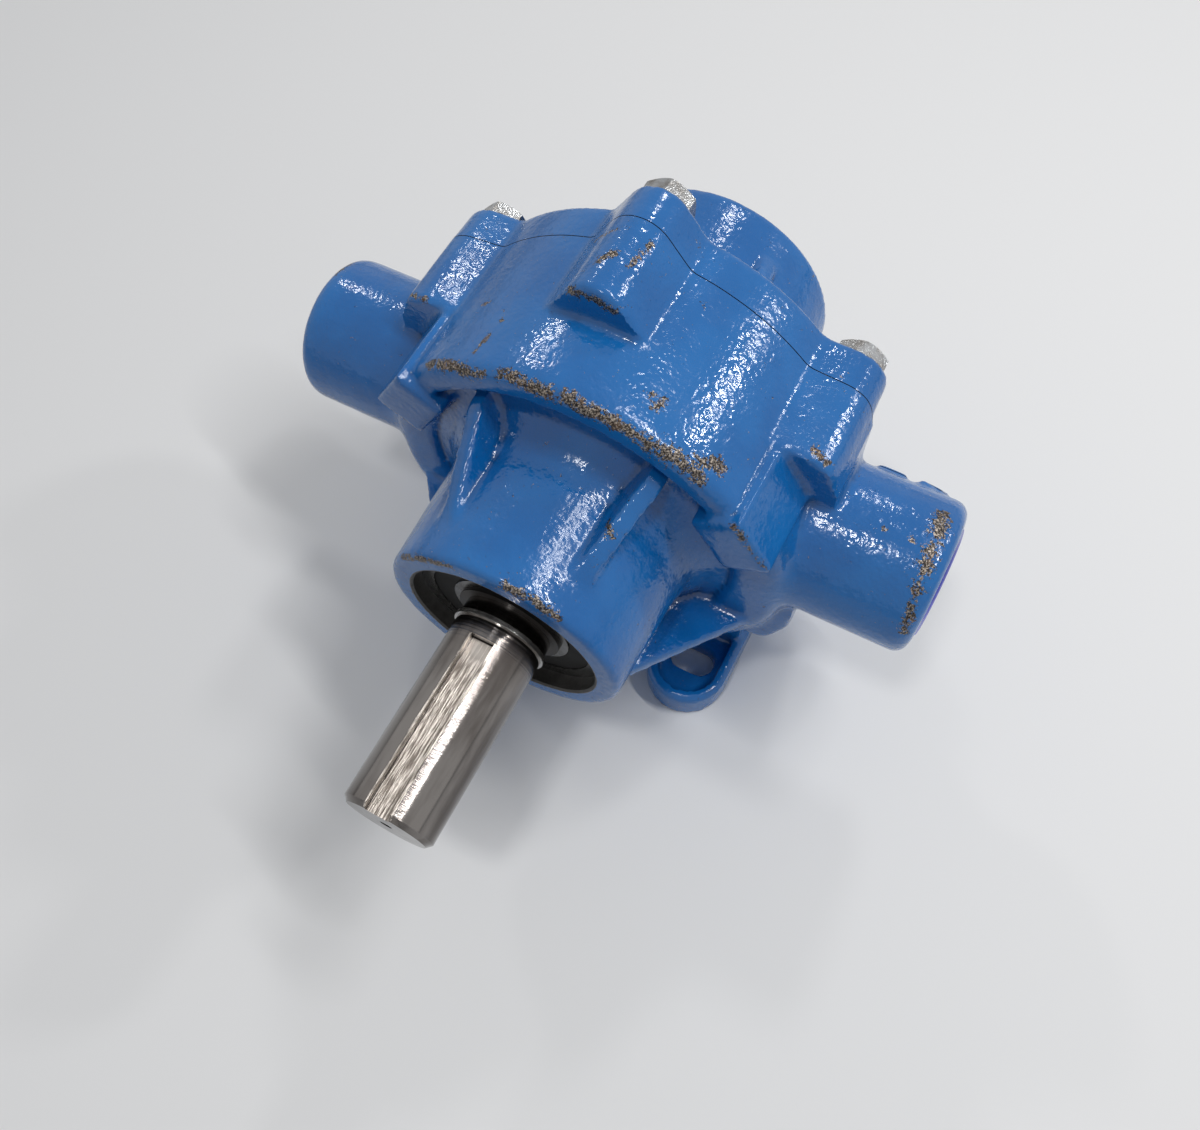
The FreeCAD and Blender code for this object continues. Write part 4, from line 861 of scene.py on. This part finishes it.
# %% [markdown]
# The camera stands where the photograph was taken: high over the drive end, turned a
# little to the right.  It could be aimed by a constraint, but three angles and a place,
# measured from the photograph, repeat it exactly.  The lens is given by a focal length
# in picture points, for a picture 1200 points wide.
# %% Camera
AZIMUTH, ELEVATION, ROLL = (math.radians(a) for a in (31.23, 63.57, -3.75))
CAMERA_PLACE = Vector((76.0, -141.2, 318.5)) * MM
FOCAL_LENGTH, PICTURE_WIDTH, SENSOR = 1066.72, 1200, 36.0
back = Vector((
    math.sin(AZIMUTH) * math.cos(ELEVATION), -math.cos(AZIMUTH) * math.cos(ELEVATION), math.sin(ELEVATION)
))
right = Vector((0, 0, 1)).cross(back).normalized()
up = back.cross(right)
tilted_right = math.cos(ROLL) * right + math.sin(ROLL) * up
tilted_up = math.cos(ROLL) * up - math.sin(ROLL) * right
turn = Matrix((tilted_right, tilted_up, back)).transposed()
lens = bpy.data.cameras.new("camera")
lens.sensor_width = SENSOR
lens.lens = SENSOR * FOCAL_LENGTH / PICTURE_WIDTH
lens.clip_start, lens.clip_end = 0.01, 20.0
camera = bpy.data.objects.new("camera", lens)
camera.matrix_world = Matrix.Translation(CAMERA_PLACE) @ turn.to_4x4()
bpy.context.scene.collection.objects.link(camera)
bpy.context.scene.camera = camera
print("camera at", [round(c, 3) for c in camera.matrix_world.translation])

# %% [markdown]
# The pump stands on a plain pale floor that keeps its shadow.  Daylight from an even
# sky would light it well but leave no sparks.  In the photograph, sparks on the hood
# point to lamps low behind it on the left and right, those on the hub and the ports to
# lamps higher up, so small lamps stand in those directions and the front faces stay
# darker.  The tube on the right draws the bright streak down the shaft's length.
# %% Floor and lamps
floor_mesh = bpy.data.meshes.new("floor")
floor_mesh.from_pydata([(-3, -3, 0), (3, -3, 0), (3, 3, 0), (-3, 3, 0)], [], [(0, 1, 2, 3)])
floor = new_piece("floor", floor_mesh)
floor_finish = Finish("pale_floor")
floor_finish.set(Base_Color=(0.78, 0.78, 0.78, 1), Roughness=0.7)
floor_mesh.materials.append(floor_finish.material)
AIM_HEIGHT = 0.08


def lamp(name, azimuth, elevation, size, power, length=None, along=(0, 1, 0)):
    """A lamp a metre off in that direction, aimed at the pump; its length lies along a way."""
    a, e = math.radians(azimuth), math.radians(elevation)
    way = Vector((math.cos(a) * math.cos(e), math.sin(a) * math.cos(e), math.sin(e)))
    data = bpy.data.lights.new(name, "AREA")
    data.shape = "RECTANGLE"
    data.size, data.size_y, data.energy = size, length or size, power
    light = bpy.data.objects.new(name, data)
    across = Vector(along).cross(way).normalized()
    axes_of_lamp = Matrix((across, way.cross(across), way)).transposed()
    light.matrix_world = Matrix.Translation(way + Vector((0, 0, AIM_HEIGHT))) @ axes_of_lamp.to_4x4()
    bpy.context.scene.collection.objects.link(light)
    return light


lamp("overhead", -95, 72, 0.10, 1.6)
lamp("behind_left", 141, 40, 0.06, 0.55)
lamp("behind_right", 40, 36, 0.08, 1.2)
lamp("tube", 10.5, 59.8, 0.03, 3.0, 0.42, (0.28, -0.165, -0.13))
lamp("above_right", 48.7, 63.8, 0.05, 1.2, 0.24, (0.18, -0.10, -0.04))
lamp("behind", 93, 45, 0.09, 1.0)
print("six lamps round the pump")

# %% [markdown]
# A white world would light the pump from all sides and wash its colours out; a dim one
# would leave a grey background.  So the world is both: the camera, mirrors and clear
# things see it white, and everything else gets a soft, slightly blue light from it.
# %% World
world = bpy.data.worlds.new("world")
bpy.context.scene.world = world
world.use_nodes = True
sky = world.node_tree
soft = sky.nodes["Background"]
soft.inputs["Color"].default_value = (0.92, 0.94, 0.97, 1)
soft.inputs["Strength"].default_value = 0.30
white = sky.nodes.new("ShaderNodeBackground")
white.inputs["Strength"].default_value = 1.0
path = sky.nodes.new("ShaderNodeLightPath")
seen, mirrored = (sky.nodes.new("ShaderNodeMath") for _ in range(2))
seen.operation = mirrored.operation = "MAXIMUM"
chosen = sky.nodes.new("ShaderNodeMixShader")
for source, target in (
    (path.outputs["Is Camera Ray"], seen.inputs[0]),
    (path.outputs["Is Glossy Ray"], seen.inputs[1]),
    (seen.outputs[0], mirrored.inputs[0]),
    (path.outputs["Is Transmission Ray"], mirrored.inputs[1]),
    (mirrored.outputs[0], chosen.inputs[0]),
    (soft.outputs[0], chosen.inputs[1]),
    (white.outputs[0], chosen.inputs[2]),
    (chosen.outputs[0], sky.nodes["World Output"].inputs["Surface"]),
):
    sky.links.new(source, target)
bpy.context.scene.view_settings.view_transform = "Standard"
print("the world has", len(sky.nodes), "nodes")
